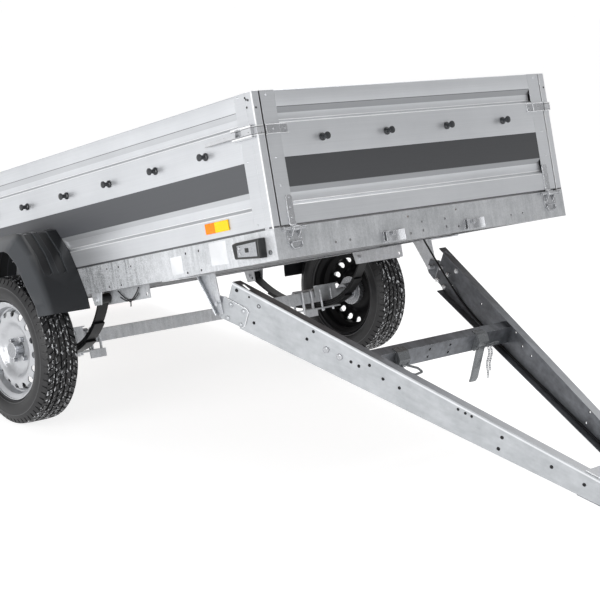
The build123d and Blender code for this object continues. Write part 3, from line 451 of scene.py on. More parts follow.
# Black rubber; on the tread's blocks painted highlights lie in short streaks. Both wheels turn about one line,
# so the right wheel's centre gives the radius for the two of them.
def rubber(name):
    f = Finish(name)
    dust = f.noise(24.0, 6.0, 0.6)
    centre = joints["wheel_right_spin"]["pos_m"]
    rise = f.along((0, 0, 1), centre)
    fore = f.along((1, 0, 0), centre)
    radius = (rise * rise + fore * fore) ** 0.5
    blocks = between(radius, *rubberLook["blocks"])
    streak = f.noise(1.0, 4.0, 0.6, vector=f.node("ShaderNodeCombineXYZ", {}, [
        fore * 55.0, f.along(left) * 120.0, rise * 55.0]))
    # painted highlights in streaks on the tread's blocks
    glint = blocks * f.ramp(streak, (0.57, 0.0), (0.62, 1.0))
    tint = f.mix(f.ramp(dust, (0.45, 0.0), (0.8, 1.0)), rubberLook["dark"], rubberLook["dust"])
    tint = f.mix(0.85 * glint, tint, rubberLook["glint"])
    # thin painted highlights on the wall's moulded rings
    moulding = sum(abs(radius - r) < rubberLook["line"] for r in rubberLook["rings"])
    tint = f.mix(0.6 * moulding, tint, rubberLook["ring"])
    return f.done(colour=tint, rough=0.36 + 0.25 * dust, normal=f.bump(f.noise(420.0, 3.0), 0.0003, 0.4),
                  shine=0.5)


def plywood(name):
    f = Finish(name)
    grain = f.noise(1.0, 6.0, 0.65, vector=f.stretch((3, 60, 3)))
    mesh = f.node("ShaderNodeTexVoronoi", {}, {"Vector": f.place(), "Scale": 150.0}, 0)
    tint = f.mix(grain, (0.055, 0.030, 0.018), (0.14, 0.085, 0.05))
    return f.done(colour=tint, rough=0.38 + 0.2 * grain, normal=f.bump(mesh, 0.0004, 0.4))


# Moulded lens: small prisms under a glossy face; beyond a line across it the colour can change
def lens(name, colour, pitch=0.004, second=None, line=None):
    f = Finish(name)
    prisms = f.cells(1.0 / pitch)
    drift = f.noise(30.0, 3.0)
    tint = f.mix(prisms, tuple(c * 0.82 for c in colour), colour)
    if second:
        tint = f.mix(f.along(bedForward, bedOrigin) > line, tint, f.mix(
            prisms, tuple(c * 0.86 for c in second), second))
    return f.done(colour=tint, rough=0.20 + 0.12 * drift, normal=f.bump(prisms, 0.0005, 0.3), shine=0.3)


finishes = dict(
    zinc_board=zincBoards(),
    galvanised_steel=galvanised("galvanised"),
    beamZinc=galvanised("beamZinc", beam=True),
    # the end beams take a darker copy of the zinc: painted shade
    endBeamZinc=galvanised("endBeamZinc", 0.80),
    latchSteel=steel("latchSteel", (0.20, 0.21, 0.22), 0.26, 0.6),
    # paler copies for the rounded edges' bevel faces: painted highlights
    edgeZinc=steel("edgeZinc", (0.90, 0.91, 0.93), 0.30, 0.4),
    edgePlastic=plastic("edgePlastic", (0.035, 0.038, 0.042), 0.35),
    fenderShell=fenderPlastic(),
    latchZinc=latchZinc(),
    drawbar_zinc=drawbarZinc(),
    bright_zinc=steel("brightZinc", (0.44, 0.45, 0.47), 0.26, 0.6),
    black_spring=plastic("springPaint", (0.002, 0.002, 0.0025), 0.40, 0.0003, 0.3),
    plywood=plywood("floorPly"),
    black_plastic=plastic("fenderPlastic", (0.013, 0.015, 0.018), 0.36, shine=0.5),
    black_cable=plastic("cableSheath", (0.008, 0.008, 0.009), 0.42),
    clear_lamp=plastic("lampFrame", (0.012, 0.013, 0.014), 0.35),
    orange_reflector=lens("reflectorOrange", (0.95, 0.23, 0.0), 0.003, (1.0, 0.58, 0.004), -0.285),
    red_lamp=lens("lampRed", (0.45, 0.01, 0.01)),
    tyre=rubber("tyreRubber"),
    silver_wheel=steel("wheelSilver", (0.50, 0.51, 0.53), 0.30, 0.5),
    # near black for a wheel's inner side: painted shade
    rimInside=plastic("rimPrimer", (0.003, 0.003, 0.0035), 0.5, shine=0.2),
    hub_zinc=steel("hubZinc", (0.36, 0.37, 0.39), 0.26, 0.7),
    shadedZinc=galvanised("shadedZinc", 0.6, 0.8),
    lampClear=lens("lampClear", (0.34, 0.35, 0.37), 0.003),
    label=plastic("labelFilm", (0.60, 0.61, 0.63), 0.35),
    # dark discs and rings of painted shade at holes
    hole=plastic("holeShade", (0.01, 0.01, 0.011), 0.8),
)
# These take another finish than their slot's
special = dict(cross_members="shadedZinc", side_beam_right="beamZinc", side_beam_left="beamZinc",
               front_beam="endBeamZinc", rear_beam="endBeamZinc", tip_latches="latchSteel",
               fender_right="fenderShell", fender_left="fenderShell", corner_latches="latchZinc")
for name, node in nodes.items():
    node.data.materials.clear()
    node.data.materials.append(finishes[special.get(name, slots[name])])
print("materials made", len(finishes))


def addMesh(name, mesh, slotName, body, finish=None):
    mesh.materials.clear()
    mesh.materials.append(finishes[finish or slotName])
    piece = bpy.data.objects.new(name, mesh)
    bpy.context.collection.objects.link(piece)
    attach(piece, body)
    return piece


def addPiece(name, points, faces, slotName, body, finish=None, smooth=True, closed=False):
    mesh = bpy.data.meshes.new(name)
    mesh.from_pydata(np.reshape(points, (-1, 3)).tolist(), [], [list(face) for face in faces])
    if closed:
        work = bmesh.new()
        work.from_mesh(mesh)
        bmesh.ops.recalc_face_normals(work, faces=work.faces)
        work.to_mesh(mesh)
        work.free()
    mesh.polygons.foreach_set("use_smooth", [smooth] * len(mesh.polygons))
    return addMesh(name, mesh, slotName, body, finish)


# quads of a grid of rows x columns; either way may close on itself
def gridFaces(rows, columns, wrapRows=False, wrapColumns=False, start=0):
    r = np.arange(rows - (0 if wrapRows else 1))[:, None]
    c = np.arange(columns - (0 if wrapColumns else 1))[None, :]
    nextRow, nextColumn = (r + 1) % rows, (c + 1) % columns
    quads = np.stack(np.broadcast_arrays(
        r * columns + c, r * columns + nextColumn,
        nextRow * columns + nextColumn, nextRow * columns + c), axis=-1)
    return (quads.reshape(-1, 4) + start).tolist()


# angle in degrees from which an edge is rounded, distance within which points merge, angle up to which
# faces count as one, width from which a rounding takes a third segment; plain nodes get no painted edge highlights
edges = dict(angle=34.0, merge=2e-6, flat=0.6, wide=0.004, plain=(
    "cross_members", "axle", "leaf_springs", "fender_brackets", "side_board_right", "side_board_left",
    "front_board", "rear_board"))
# rounding of each node's edges, in metres
rounding = [
    (0.0010, ("side_beam_right", "side_beam_left", "front_beam", "rear_beam", "arm_right", "arm_left")),
    (0.0016, ("side_board_right", "side_board_left", "front_board", "rear_board")),
    (0.0022, ("corner_posts", "cross_tube", "drawbar_hangers")),
    (0.0008, ("nose_plates", "hinge_brackets", "spring_hangers", "axle_clamps", "fender_brackets")),
    (0.0013, ("front_board_straps", "rear_board_straps", "corner_latches", "tip_catches", "tip_latches",
              "hinge_plates")),
    (0.0010, ("rim_right", "rim_left", "hub_right", "hub_left", "cable_plug")),
    (0.0012, ("side_knobs", "front_board_knobs", "rear_board_knobs", "side_reflectors")),
    (0.0045, ("fender_right", "fender_left")),
    (0.0025, ("marker_lamps", "rear_lamps", "coupling_head", "coupling_handle", "axle")),
    (0.0010, ("cross_members", "leaf_springs")),
]


# facing is -1 inward and 1 outward; below outward a face is painted with shade only within reach of the middle
primer = dict(inward=-0.3, outward=0.5, reach=0.022)


# A wheel's inner side is painted near black as painted shade: the faces that look inward, and the barrel behind
# the disc
def lineWheel(name, mesh):
    out = -1 if name.endswith("right") else 1
    middle = joints["wheel_%s_spin" % name.split("_")[1]]["pos_m"][1]
    count = len(mesh.polygons)
    normals, centres = np.empty(count * 3), np.empty(count * 3)
    mesh.polygons.foreach_get("normal", normals)
    mesh.polygons.foreach_get("center", centres)
    facing = normals.reshape(-1, 3)[:, 1] * out
    beyond = (centres.reshape(-1, 3)[:, 1] - middle) * out
    inside = (facing < primer["inward"]) | ((facing < primer["outward"]) & (beyond < primer["reach"]))
    mesh.polygons.foreach_set("material_index", inside.astype(np.int32))
    mesh.materials.append(finishes["rimInside"])


# A merged copy of a CAD node with rounded edges stands in for it
def dress(name, width):
    mesh = nodes[name].data.copy()
    work = bmesh.new()
    work.from_mesh(mesh)
    bmesh.ops.remove_doubles(work, verts=work.verts, dist=edges["merge"])
    bmesh.ops.dissolve_limit(
        work, angle_limit=math.radians(edges["flat"]), verts=work.verts, edges=work.edges)
    for face in work.faces:
        face.smooth = True
    for edge in work.edges:
        edge.smooth = edge.calc_face_angle(0) < math.radians(edges["angle"])
    work.to_mesh(mesh)
    work.free()
    piece = addMesh(name + "Rounded", mesh, slots[name], bodyOf[name], special.get(name))
    if name.startswith("rim_"):
        lineWheel(name, mesh)
    # the bevel faces of zinc, steel and fender pieces take a paler finish: painted highlights along the rounded
    # edges
    worn = "edgeZinc" if "zinc" in slots[name] or "steel" in slots[name] else None
    if name in ("fender_right", "fender_left"):
        worn = "edgePlastic"
    bevel = piece.modifiers.new("rounding", "BEVEL")
    bevel.width = width
    bevel.segments = 3 if width > edges["wide"] else 2
    bevel.limit_method = "ANGLE"
    bevel.angle_limit = math.radians(edges["angle"])
    bevel.harden_normals = True
    if worn and name not in edges["plain"]:
        mesh.materials.append(finishes[worn])
        bevel.material = len(mesh.materials) - 1
    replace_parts(piece, name)


for width, names in rounding:
    for name in names:
        dress(name, width)
print("edges rounded")

# the crown falls by its drop at the shoulder; shallow is the slots' share of depth on ribs that end within
# middle, lag turns the other half's pattern, and sharp is the angle from which an edge shows
tread = dict(pitches=62, crown=0.2735, drop=0.0022, shoulder=0.059, slot=0.0075, shallow=0.55, groove=0.006,
             grooveWalls=(0.0004, 0.0070), zigzag=0.55, rib=0.021, lag=0.31, sharp=38, middle=0.03)


# Tyre: one profile row per place across it, turned about the axle. A column's angle is its share of a
# tread pitch plus the row's shear, and the slot columns lie lower than the blocks by the row's depth.
def makeTyre(name, body, centre, out):
    shares = np.array([0.0, 0.13, 0.26, 0.38, 0.40, 0.50, 0.60, 0.62, 0.74, 0.87])
    inSlot = np.array([0, 0, 0, 0, 1, 1, 1, 0, 0, 0])
    wall = [  # radius, place across, slot depth
        (0.1656, 0.0475, 0), (0.1722, 0.0522, 0), (0.1832, 0.0566, 0), (0.1860, 0.0606, 0), (0.1885, 0.0672, 0),
        (0.1925, 0.0712, 0), (0.1950, 0.0706, 0), (0.1975, 0.0724, 0), (0.2050, 0.0752, 0), (0.2130, 0.0772, 0),
        (0.2200, 0.0775, 0), (0.2290, 0.0770, 0), (0.2360, 0.0756, 0), (0.2385, 0.0762, 0), (0.2410, 0.0754, 0),
        (0.2480, 0.0728, 0), (0.2525, 0.0706, 0.1), (0.2560, 0.0690, 0.5), (0.2610, 0.0666, 0.8),
        (0.2660, 0.0645, 1), (0.2700, 0.0620, 1),
    ]
    ribs = [(0.0590, 0.0378), (0.0302, 0.0148), (0.0072, -0.0072)]
    shearOf = (0.0, 0.5, 0.22)
    half = []
    for radius, across, depth in wall:
        half.append((radius, across, depth * tread["slot"], 0.0))
    for (outer, inner), shift in zip(ribs, shearOf):
        share = tread["shallow"] if inner < tread["middle"] else 1.0
        for across in np.linspace(outer, inner, 4):
            crown = tread["crown"] - tread["drop"] * (across / tread["shoulder"]) ** 4
            half.append((crown, across, tread["slot"] * share,
                         shift + tread["zigzag"] * (across - inner) / tread["rib"]))
        if inner > 0:
            for wallIn in tread["grooveWalls"]:
                half.append((crown - tread["groove"], inner - wallIn, 0.0, shift))
    rows = np.array(half)
    # the middle rib, its last four rows, is whole already
    other = rows[::-1][4:] * [1, -1, 1, 1] + [0, 0, 0, tread["lag"]]
    rows = np.concatenate([rows, other])
    pitch = np.arange(tread["pitches"])[:, None] + shares[None, :]
    angle = 2 * math.pi * (pitch.reshape(1, -1) + rows[:, 3:4]) / tread["pitches"]
    radius = rows[:, 0:1] - rows[:, 2:3] * np.tile(inSlot, tread["pitches"])[None, :]
    across = out * rows[:, 1:2] + 0 * angle
    points = np.stack([radius * np.sin(angle), across, radius * np.cos(angle)], axis=-1)
    piece = addPiece(name, points + np.array(centre), gridFaces(*points.shape[:2], True, True), "tyre", body,
                     closed=True)
    mesh = piece.data
    work = bmesh.new()
    work.from_mesh(mesh)
    for edge in work.edges:
        edge.smooth = edge.calc_face_angle(0) < math.radians(tread["sharp"])
    work.to_mesh(mesh)
    work.free()
    return piece


for side, out in (("right", -1), ("left", 1)):
    centre = joints["wheel_" + side + "_spin"]["pos_m"]
    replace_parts(makeTyre("tyre" + side.capitalize() + "Tread", "wheel_" + side, centre, out), "tyre_" + side)
print("tyres made")


# Heads of bolts, screws and rivets: a profile turned about each place's own way out, all heads at once
def makeHeads(name, places, ways, profile, body, slotName="bright_zinc", sides=14, finish=None):
    places, ways = np.atleast_2d(places), np.atleast_2d(ways)
    ways = ways / np.linalg.norm(ways, axis=1, keepdims=True)
    handy = np.where(np.abs(ways[:, 2:3]) < 0.8, [[0.0, 0.0, 1.0]], [[1.0, 0.0, 0.0]])
    first = np.cross(ways, handy)
    first /= np.linalg.norm(first, axis=1, keepdims=True)
    second = np.cross(ways, first)
    turn = 2 * math.pi * np.arange(sides) / sides
    ring = first[:, None] * np.cos(turn)[None, :, None] + second[:, None] * np.sin(turn)[None, :, None]
    radius, height = np.array(profile).T
    points = (places[:, None, None] + ring[:, None] * radius[None, :, None, None]
              + ways[:, None, None] * height[None, :, None, None])
    tips = places + ways * height[0]
    count, rings = len(places), len(profile)
    faces = []
    for i in range(count):
        start = i * rings * sides
        faces += gridFaces(rings, sides, False, True, start)
        tip = count * rings * sides + i
        faces += [(tip, start + j, start + (j + 1) % sides) for j in range(sides)]
    everything = np.concatenate([points.reshape(-1, 3), tips])
    return addPiece(name, everything, faces, slotName, body, finish, closed=True)


# a rim stands sink deep in the metal, and the painted shade of a hole is a disc markOut above it
heads = dict(first=0.2, sink=0.0004, markOut=0.0003, markSink=0.0002, chamfer=0.82)


def domed(radius, height):
    turn = np.linspace(heads["first"], math.pi / 2, 5)
    return [(radius * math.sin(t), height * math.cos(t)) for t in turn] + [(radius, -heads["sink"])]


def flat(radius):
    return [(radius * 0.5, heads["markOut"]), (radius, heads["markOut"]), (radius, -heads["markSink"])]


def hexed(radius, height):
    share = heads["chamfer"]
    return [(radius * 0.5, height), (radius * share, height), (radius, height * share),
            (radius, -heads["sink"])]


rivets = dict(
    # radius and height of each kind of head
    cap=(0.0045, 0.0022), strap=(0.0040, 0.0022), screw=(0.0075, 0.0045), plate=(0.0095, 0.0045),
    arm=(0.0112, 0.0055), nut=(0.0095, 0.0075),
    # on the bed; skin is how far a side cap or a disc of painted shade at a hole lies off the metal
    skin=0.0001, capHeights=(0.517, 0.315, 0.116), capBack=0.073, frontHeights=(0.513, 0.316, 0.227),
    frontIn=0.057, strapHeights=(0.189, 0.158, 0.124), strapOut=0.0033, hingeIn=0.079,
    hingeScrew=(0.0235, 0.060), beamScrew=(0.032, 0.027),
    # on the latches' keepers: off the board's face, and in from the side
    keepers=[(0.0024, 0.110), (0.0053, 0.061)], keeperHeight=0.405,
    # discs of painted shade at the holes near the posts' tops: on the sides, from the bed's front edge; on the
    # front, in from each side
    postHoles=[(-0.021, 0.502), (-0.032, 0.481), (-0.035, 0.511), (-0.030, 0.505)], postHoleRadius=0.0038,
    frontHole=(0.010, 0.475), frontHoleRadius=0.0034,
    # on the arms: place along, and height from the top edge; armHoles has depths below it, and radii in
    # millimetres. The lone nut sits ahead of the plates.
    plates=[(-0.549, -0.080), (-0.497, -0.080), (-0.549, -0.133), (-0.495, -0.132)], plateOut=0.0043,
    lone=(-0.451, -0.036), nutIn=0.0033, armPlaces=[(-0.176, -0.058), (-0.124, -0.0575)],
    armHoles=[
        (-0.451, 0.036, 6.5), (-0.545, 0.022, 6), (-0.494, 0.022, 3), (-0.453, 0.102, 5), (-0.237, 0.021, 5),
        (-0.252, 0.058, 5), (-0.082, 0.054, 5), (-0.052, 0.054, 5), (-0.018, 0.032, 5), (0.039, 0.053, 5),
        (0.100, 0.053, 5), (0.303, 0.019, 4), (0.329, 0.019, 4), (0.351, 0.018, 4), (0.462, 0.033, 5.5),
        (0.463, 0.075, 5.5), (0.634, 0.041, 5.5), (0.743, 0.041, 5.5)],
)


def makeFasteners():
    half, length = bed["halfWidth"], bed["length"]
    sideCaps = [(x, s * (half + rivets["skin"]), z) for s in (-1, 1) for z in rivets["capHeights"]
                for x in (-rivets["capBack"], rivets["capBack"] - length)]
    ways = [(0, np.sign(p[1]), 0) for p in sideCaps]
    makeHeads("sideRivets", onBed(sideCaps), ways, domed(*rivets["cap"]), "chassis", "zinc_board")
    screws = [(x, s * half, rivets["beamScrew"][1]) for s in (-1, 1)
              for x in (-rivets["beamScrew"][0], rivets["beamScrew"][0] - length)]
    makeHeads("beamScrews", onBed(screws), [(0, np.sign(p[1]), 0) for p in screws], hexed(*rivets["screw"]),
              "chassis", finish="latchSteel")
    for name, x, way in (("front", 0.0, bedForward), ("rear", -length, -bedForward)):
        out = np.sign(x + length / 2)
        body = name + "_board"
        caps = [(x, s * (half - rivets["frontIn"]), z) for s in (-1, 1) for z in rivets["frontHeights"]]
        makeHeads(name + "Rivets", onBed(caps), [way] * len(caps), domed(*rivets["cap"]), body, "zinc_board")
        face = x + out * rivets["strapOut"]
        straps = [(face, s * (half - rivets["hingeIn"]), z) for s in (-1, 1) for z in rivets["strapHeights"]]
        straps += [(x + out * off, s * (half - inward), rivets["keeperHeight"])
                   for off, inward in rivets["keepers"] for s in (-1, 1)]
        makeHeads(name + "StrapRivets", onBed(straps), [way] * len(straps), domed(*rivets["strap"]), body)
        apart, height = rivets["hingeScrew"]
        discs = [(face, s * (half - rivets["hingeIn"]) + t * apart, height) for s in (-1, 1) for t in (-1, 1)]
        makeHeads(name + "HingeScrews", onBed(discs), [way] * len(discs), domed(*rivets["cap"]), "chassis")
    holes = [(x, s * (half + rivets["skin"]), z) for s in (-1, 1) for x, z in rivets["postHoles"]]
    ways = [(0, np.sign(p[1]), 0) for p in holes]
    makeHeads("postHoles", onBed(holes), ways, flat(rivets["postHoleRadius"]), "chassis", "zinc_board", 12,
              "hole")
    inward, height = rivets["frontHole"]
    holes = [(rivets["skin"], s * (half - inward), height) for s in (-1, 1)]
    makeHeads("postFrontHoles", onBed(holes), [bedForward] * 2, flat(rivets["frontHoleRadius"]), "chassis",
              "zinc_board", 12, "hole")
    # the hinge plates' bolts sit outside each arm's web, and their nuts inside it
    for side, s in (("Right", -1), ("Left", 1)):
        out = bar["taper"] * barForward + s * left
        seat = rivets["plateOut"] * math.hypot(1, bar["taper"])
        places = [(x, s * (bar["spread"] - bar["taper"] * x + seat), z) for x, z in rivets["plates"]]
        makeHeads("plateBolts" + side, onBar(places), [out] * 4, domed(*rivets["plate"]), "drawbar",
                  "drawbar_zinc")
        nuts = [(x, s * (bar["spread"] - bar["taper"] * x - rivets["nutIn"]), z)
                for x, z in (*rivets["plates"], rivets["lone"])]
        makeHeads("plateNuts" + side, onBar(nuts), [-out] * 5, hexed(*rivets["nut"]), "drawbar",
                  "bright_zinc", 6, "edgeZinc")
        places = [(x, s * (bar["spread"] - bar["taper"] * x), z) for x, z in rivets["armPlaces"]]
        makeHeads("armBolts" + side, onBar(places), [out] * len(places), hexed(*rivets["arm"]), "drawbar",
                  "bright_zinc")


makeFasteners()
print("fasteners made")


# Tube: a ring of the given radius stands square to the path at each of its points
def tube(path, radius, sides=10, closed=False):
    path = np.asarray(path, float)
    ahead = np.roll(path, -1, 0) - np.roll(path, 1, 0) if closed else np.gradient(path, axis=0)
    ahead /= np.linalg.norm(ahead, axis=1, keepdims=True)
    bend = np.cross(ahead[:-1], ahead[1:]).sum(axis=0)
    handy = bend if np.linalg.norm(bend) > 1e-3 else np.eye(3)[np.argmin(np.abs(ahead[0]))]
    aside = np.cross(ahead, handy)
    aside /= np.linalg.norm(aside, axis=1, keepdims=True)
    upward = np.cross(aside, ahead)
    turn = 2 * math.pi * np.arange(sides) / sides
    points = (path[:, None] + radius * np.cos(turn)[None, :, None] * aside[:, None]
              + radius * np.sin(turn)[None, :, None] * upward[:, None])
    faces = gridFaces(len(path), sides, closed, True)
    if not closed:
        faces += [list(range(sides)), [len(path) * sides - 1 - i for i in range(sides)]]
    return points.reshape(-1, 3), faces


# Several tubes in one piece; each row holds what tube() takes
def addTubes(name, rows, slotName, body, finish=None):
    points, faces = np.zeros((0, 3)), []
    for row in rows:
        moved, quads = tube(*row)
        faces += [[i + len(points) for i in quad] for quad in quads]
        points = np.concatenate([points, moved])
    addPiece(name, points, faces, slotName, body, finish, closed=True)


# swell rounds the D out, and top is the share of its half height where it is flat
ring = dict(wide=0.045, high=0.026, centre=0.041, out=0.0072, wire=0.0024, swell=1.25, top=0.62)
# strands: place of the top link and the number of links; lap is in wire radii
chain = dict(strands=[((-0.014, 0.226, -0.071), 13), ((-0.012, 0.238, -0.071), 10)], long=0.0115, wide=0.0070,
             wire=0.0013, lap=2.4, sway=0.004, swing=0.7)
# rings and discs of painted shade at the arms' holes
burr = dict(wire=0.0013, tight=0.92, plugIn=0.0010)


# Lashing rings under the hinges: a rounded D, flat at the top
def makeRings():
    turn = 2 * math.pi * np.arange(36) / 36
    for name, x, out in (("front", 0, 1), ("rear", -bed["length"], -1)):
        rows = []
        for s in (-1, 1):
            y = s * (bed["halfWidth"] - rivets["hingeIn"]) + ring["wide"] / 2 * np.cos(turn)
            z = ring["centre"] + ring["high"] / 2 * np.clip(np.sin(turn) * ring["swell"], -1, ring["top"])
            path = onBed(np.stack([x + out * (ring["out"] + 0 * y), y, z], axis=1))
            rows.append((path, ring["wire"], 8, True))
        addTubes(name + "Rings", rows, "bright_zinc", "chassis")


# Safety chain of the tip latch: oval links hang straight down, each turned square to the last
def makeChain():
    turn = 2 * math.pi * np.arange(14) / 14
    rows = []
    for start, i in [(start, i) for start, links in chain["strands"] for i in range(links)]:
        aside = left if i % 2 else np.array([1.0, 0.0, 0.0])
        centre = onBar(start) - np.array([0, 0, 1]) * i * (chain["long"] - chain["lap"] * chain["wire"])
        centre = centre + aside * chain["sway"] * math.sin(i * chain["swing"])
        path = (centre + chain["wide"] / 2 * np.cos(turn)[:, None] * aside
                + chain["long"] / 2 * np.sin(turn)[:, None] * np.array([0, 0, 1]))
        rows.append((path, chain["wire"], 6, True))
    addTubes("latchChain", rows, "bright_zinc", "drawbar")


# Dark rings of painted shade round the arms' punched holes, on the outer face of each web
def makeBurrs():
    turn = 2 * math.pi * np.arange(16) / 16
    for side, s in (("Right", -1), ("Left", 1)):
        rows = []
        for x, depth, radius in rivets["armHoles"]:
            reach = radius / 1000 * burr["tight"]
            around = x + reach * np.cos(turn) / math.hypot(1, bar["taper"])
            web = s * (bar["spread"] - bar["taper"] * around)
            path = onBar(np.stack([around, web, -depth + reach * np.sin(turn)], axis=1))
            rows.append((path, burr["wire"], 6, True))
        addTubes("armBurrs" + side, rows, "drawbar_zinc", "drawbar", "hole")
    # the right arm's holes are closed by dark discs of painted shade, set a little below the outer face
    for radius in sorted({r for x, depth, r in rivets["armHoles"]}):
        spots = [(x, burr["plugIn"] - bar["spread"] + bar["taper"] * x, -depth)
                 for x, depth, r in rivets["armHoles"] if r == radius]
        makeHeads("armPlugs%d" % (radius * 10), onBar(spots), [bar["taper"] * barForward - left] * len(spots),
                  flat(radius / 1000), "drawbar", "black_cable", 12, "hole")


ties = dict(knot=(-0.925, -0.633, -0.048), knotHead=(0.007, 0.006), wire=0.0022, sag=0.006,
            ends=[(-0.995, -0.006), (-0.862, -0.006), (-0.985, -0.030), (-0.868, -0.026), (-0.930, -0.068)])


# Black ties that hold the loom under the right side beam, drawn together in a knot
def makeTies():
    rows = []
    knot = np.array(ties["knot"])
    for x, z in ties["ends"]:
        share = np.linspace(0, 1, 9)[:, None]
        end = np.array((x, knot[1], z))
        sag = np.array((0, 0, -ties["sag"])) * np.sin(math.pi * share)
        rows.append((onBed(knot + (end - knot) * share + sag), ties["wire"], 8))
    addTubes("loomTies", rows, "black_cable", "chassis")
    makeHeads("loomKnot", onBed([knot]), [(0, -1, 0)], domed(*ties["knotHead"]), "chassis", "black_cable")


makeRings()
makeBurrs()
makeTies()
makeChain()

# clip is where the lead first meets the arm; the depths are the arm's at its rear and front end
cable = dict(radius=0.0035, sides=10, exit=(-0.553, 0.498, 0.0016), clip=(-0.470, -0.100), plugRear=0.830,
             plugRadius=0.017, fit=0.0003, depthRear=0.1528, depthFront=0.065, rear=-0.568, front=1.075)


# Where a round thing of the given radius lies in the left arm's channel, against web and lower flange
def channelSpot(x, radius):
    aside = (radius + cable["fit"]) * math.hypot(1, bar["taper"])
    share = (x - cable["rear"]) / (cable["front"] - cable["rear"])
    bottom = -(cable["depthRear"] + (cable["depthFront"] - cable["depthRear"]) * share)
    return (x, bar["spread"] - bar["taper"] * x - bar["sheet"] - aside,
            bottom + bar["sheet"] + radius + 2 * cable["fit"])


# The lead runs from under the bed to the left arm and along its lower flange to the parked plug
def makeCable():
    start = onBed(cable["exit"])
    clipX, clipZ = cable["clip"]
    clipY = bar["spread"] - bar["taper"] * clipX - bar["sheet"] - cable["radius"] - 0.001
    plug = np.array(channelSpot(cable["plugRear"], cable["plugRadius"]))
    corners = [start] + [onBar(p) for p in (
        (clipX, clipY, clipZ), channelSpot(-0.249, cable["radius"]),
        channelSpot(cable["plugRear"] - 0.130, cable["radius"]),
        plug + np.array((-0.040, 0.040 * bar["taper"], 0)), plug)]
    data = bpy.data.curves.new("cableLine", "CURVE")
    data.dimensions = "3D"
    line = data.splines.new("NURBS")
    line.points.add(len(corners) - 1)
    for point, corner in zip(line.points, corners):
        point.co = (*corner, 1.0)
    line.order_u = 3
    line.use_endpoint_u = True
    line.resolution_u = 24
    curve = bpy.data.objects.new("cableLine", data)
    bpy.context.collection.objects.link(curve)
    bpy.context.view_layer.update()
    read = bpy.data.meshes.new_from_object(curve)
    path = np.array([v.co for v in read.vertices])
    bpy.data.objects.remove(curve)
    points, faces = tube(path, cable["radius"], cable["sides"])
    mesh = bpy.data.meshes.new("wiringCableSheath")
    mesh.from_pydata(points.tolist(), [], faces)
    mesh.polygons.foreach_set("use_smooth", [True] * len(mesh.polygons))
    mesh.materials.append(finishes["black_cable"])
    piece = bpy.data.objects.new("wiringCableSheath", mesh)
    bpy.context.collection.objects.link(piece)
    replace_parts(piece, "wiring_cable")
    tuple(onBar((clipX, clipY, clipZ)))
    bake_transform(piece)


makeCable()
print("rings, chain and cable made")


# Flat plate: an outline on the bed's side, pushed out between two distances from the centreline
def sidePlate(name, outline, inner, outer, side, slotName, finish):
    rim = np.array(outline)
    count = len(rim)
    layers = [np.stack([rim[:, 0], 0 * rim[:, 0] + side * y, rim[:, 1]], axis=1) for y in (inner, outer)]
    faces = gridFaces(2, count, False, True)
    faces += [list(range(count))[::-1], [count + i for i in range(count)]]
    addPiece(name, onBed(np.concatenate(layers)), faces, slotName, "chassis", finish, False, True)


trim = dict(
    # how far out the frame stands, the lens and window from there, and each boss's size
    frame=0.0303, lensIn=0.001, lensOut=0.0012, windowIn=0.0005, windowOut=0.0008, boss=(0.007, 0.004),
    labelOut=0.0003,
    lens=[(-0.159, 0.0295), (-0.062, 0.0225), (-0.060, 0.0675), (-0.156, 0.0655)],
    window=[(-0.118, 0.040), (-0.100, 0.039), (-0.100, 0.053), (-0.118, 0.054)],
    bosses=[(-0.146, 0.0385), (-0.146, 0.0560)],
    labels=[[(-0.341, 0.020), (-0.250, 0.016), (-0.250, 0.092), (-0.341, 0.092)],
            [(-0.565, 0.012), (-0.500, 0.012), (-0.500, 0.071), (-0.565, 0.071)]],
)


def makeSideTrim():
    half = bed["halfWidth"]
    for side, s in (("Right", -1), ("Left", 1)):
        face = half + trim["frame"]
        out = face + trim["lensOut"]
        sidePlate("lampLens" + side, trim["lens"], face - trim["lensIn"], out, s, "clear_lamp", "lampClear")
        sidePlate("lampWindow" + side, trim["window"], out - trim["windowIn"],
                  out + trim["windowOut"], s, "clear_lamp", "clear_lamp")
        bosses = onBed([(x, s * out, z) for x, z in trim["bosses"]])
        makeHeads("lampBosses" + side, bosses, [s * left] * 2, domed(*trim["boss"]), "chassis", "bright_zinc")
        for i, label in enumerate(trim["labels"]):
            sidePlate("label%s%d" % (side, i + 1), label, half, half + trim["labelOut"], s,
                      "zinc_board", "label")


makeSideTrim()
print("side trim made")

studio = dict(floorSize=60.0, floorColour=(0.40, 0.40, 0.40), floorDrift=(0.41, 0.41, 0.41), floorGlow=0.80,
              sky=1.03, zenith=0.50, near=0.30, horizon=0.20, high=0.75, backFrom=0.35, backFull=0.7)


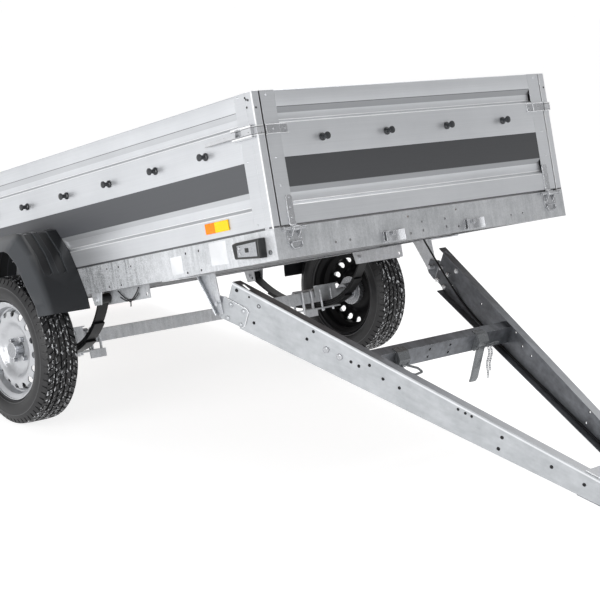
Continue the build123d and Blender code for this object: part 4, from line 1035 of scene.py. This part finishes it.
def makeFloor():
    f = Finish("studioFloor")
    f.done(colour=f.mix(f.noise(0.6, 2.0), studio["floorColour"], studio["floorDrift"]), rough=0.9,
           glow=(1, 1, 1), glowStrength=studio["floorGlow"])
    half = studio["floorSize"] / 2
    mesh = bpy.data.meshes.new("floor")
    corners = [(-half, -half, 0), (half, -half, 0), (half, half, 0), (-half, half, 0)]
    mesh.from_pydata(corners, [], [(0, 1, 2, 3)])
    floor = bpy.data.objects.new("floor", mesh)
    mesh.materials.append(f.material)
    bpy.context.collection.objects.link(floor)


lamps = [
    # name, place on the bed's axes in metres, aimed at, width, watts
    dict(name="keySide", place=(0.8, -6.5, 1.8), aim=(-0.8, 0, 0.1), size=3.6, power=300),
    dict(name="fillFront", place=(6.5, -0.5, 1.5), aim=(0, 0, 0), size=3.0, power=90),
    dict(name="topSoft", place=(-0.5, 1.5, 6.0), aim=(-0.5, 0, 0), size=5.0, power=170),
]


# The sky is white round the horizon behind the trailer, and dims overhead and behind the camera
def makeLights():
    world = bpy.data.worlds.new("studio")
    bpy.context.scene.world = world
    world.use_nodes = True
    sky = Tree(world.node_tree)
    heading = math.radians(camera["heading"])
    ahead = onBed((math.cos(heading), math.sin(heading), 0)) - bedOrigin
    ahead = np.array([ahead[0], ahead[1], 0]) / math.hypot(ahead[0], ahead[1])
    rise = sky.along((0, 0, 1), kind="Generated")
    facing = sky.along(ahead, kind="Generated")
    upper = sky.ramp(rise, (studio["horizon"], 1.0), (studio["high"], studio["zenith"]))
    back = sky.ramp(0.5 + 0.5 * facing, (studio["backFrom"], studio["near"]), (studio["backFull"], 1.0))
    shader = world.node_tree.nodes["Background"]
    sky.plug(shader.inputs[0], sky.mix(upper * back, (0, 0, 0), (1, 1, 1)))
    shader.inputs[1].default_value = studio["sky"]
    for lamp in lamps:
        data = bpy.data.lights.new(lamp["name"], "AREA")
        data.size = lamp["size"]
        data.energy = lamp["power"]
        light = bpy.data.objects.new(lamp["name"], data)
        bpy.context.collection.objects.link(light)
        light.location = lamp["place"]
        toward = Vector(lamp["aim"]) - Vector(lamp["place"])
        light.rotation_euler = toward.to_track_quat("-Z", "Y").to_euler()


makeFloor()
makeLights()
bpy.context.scene.view_settings.view_transform = "Standard"
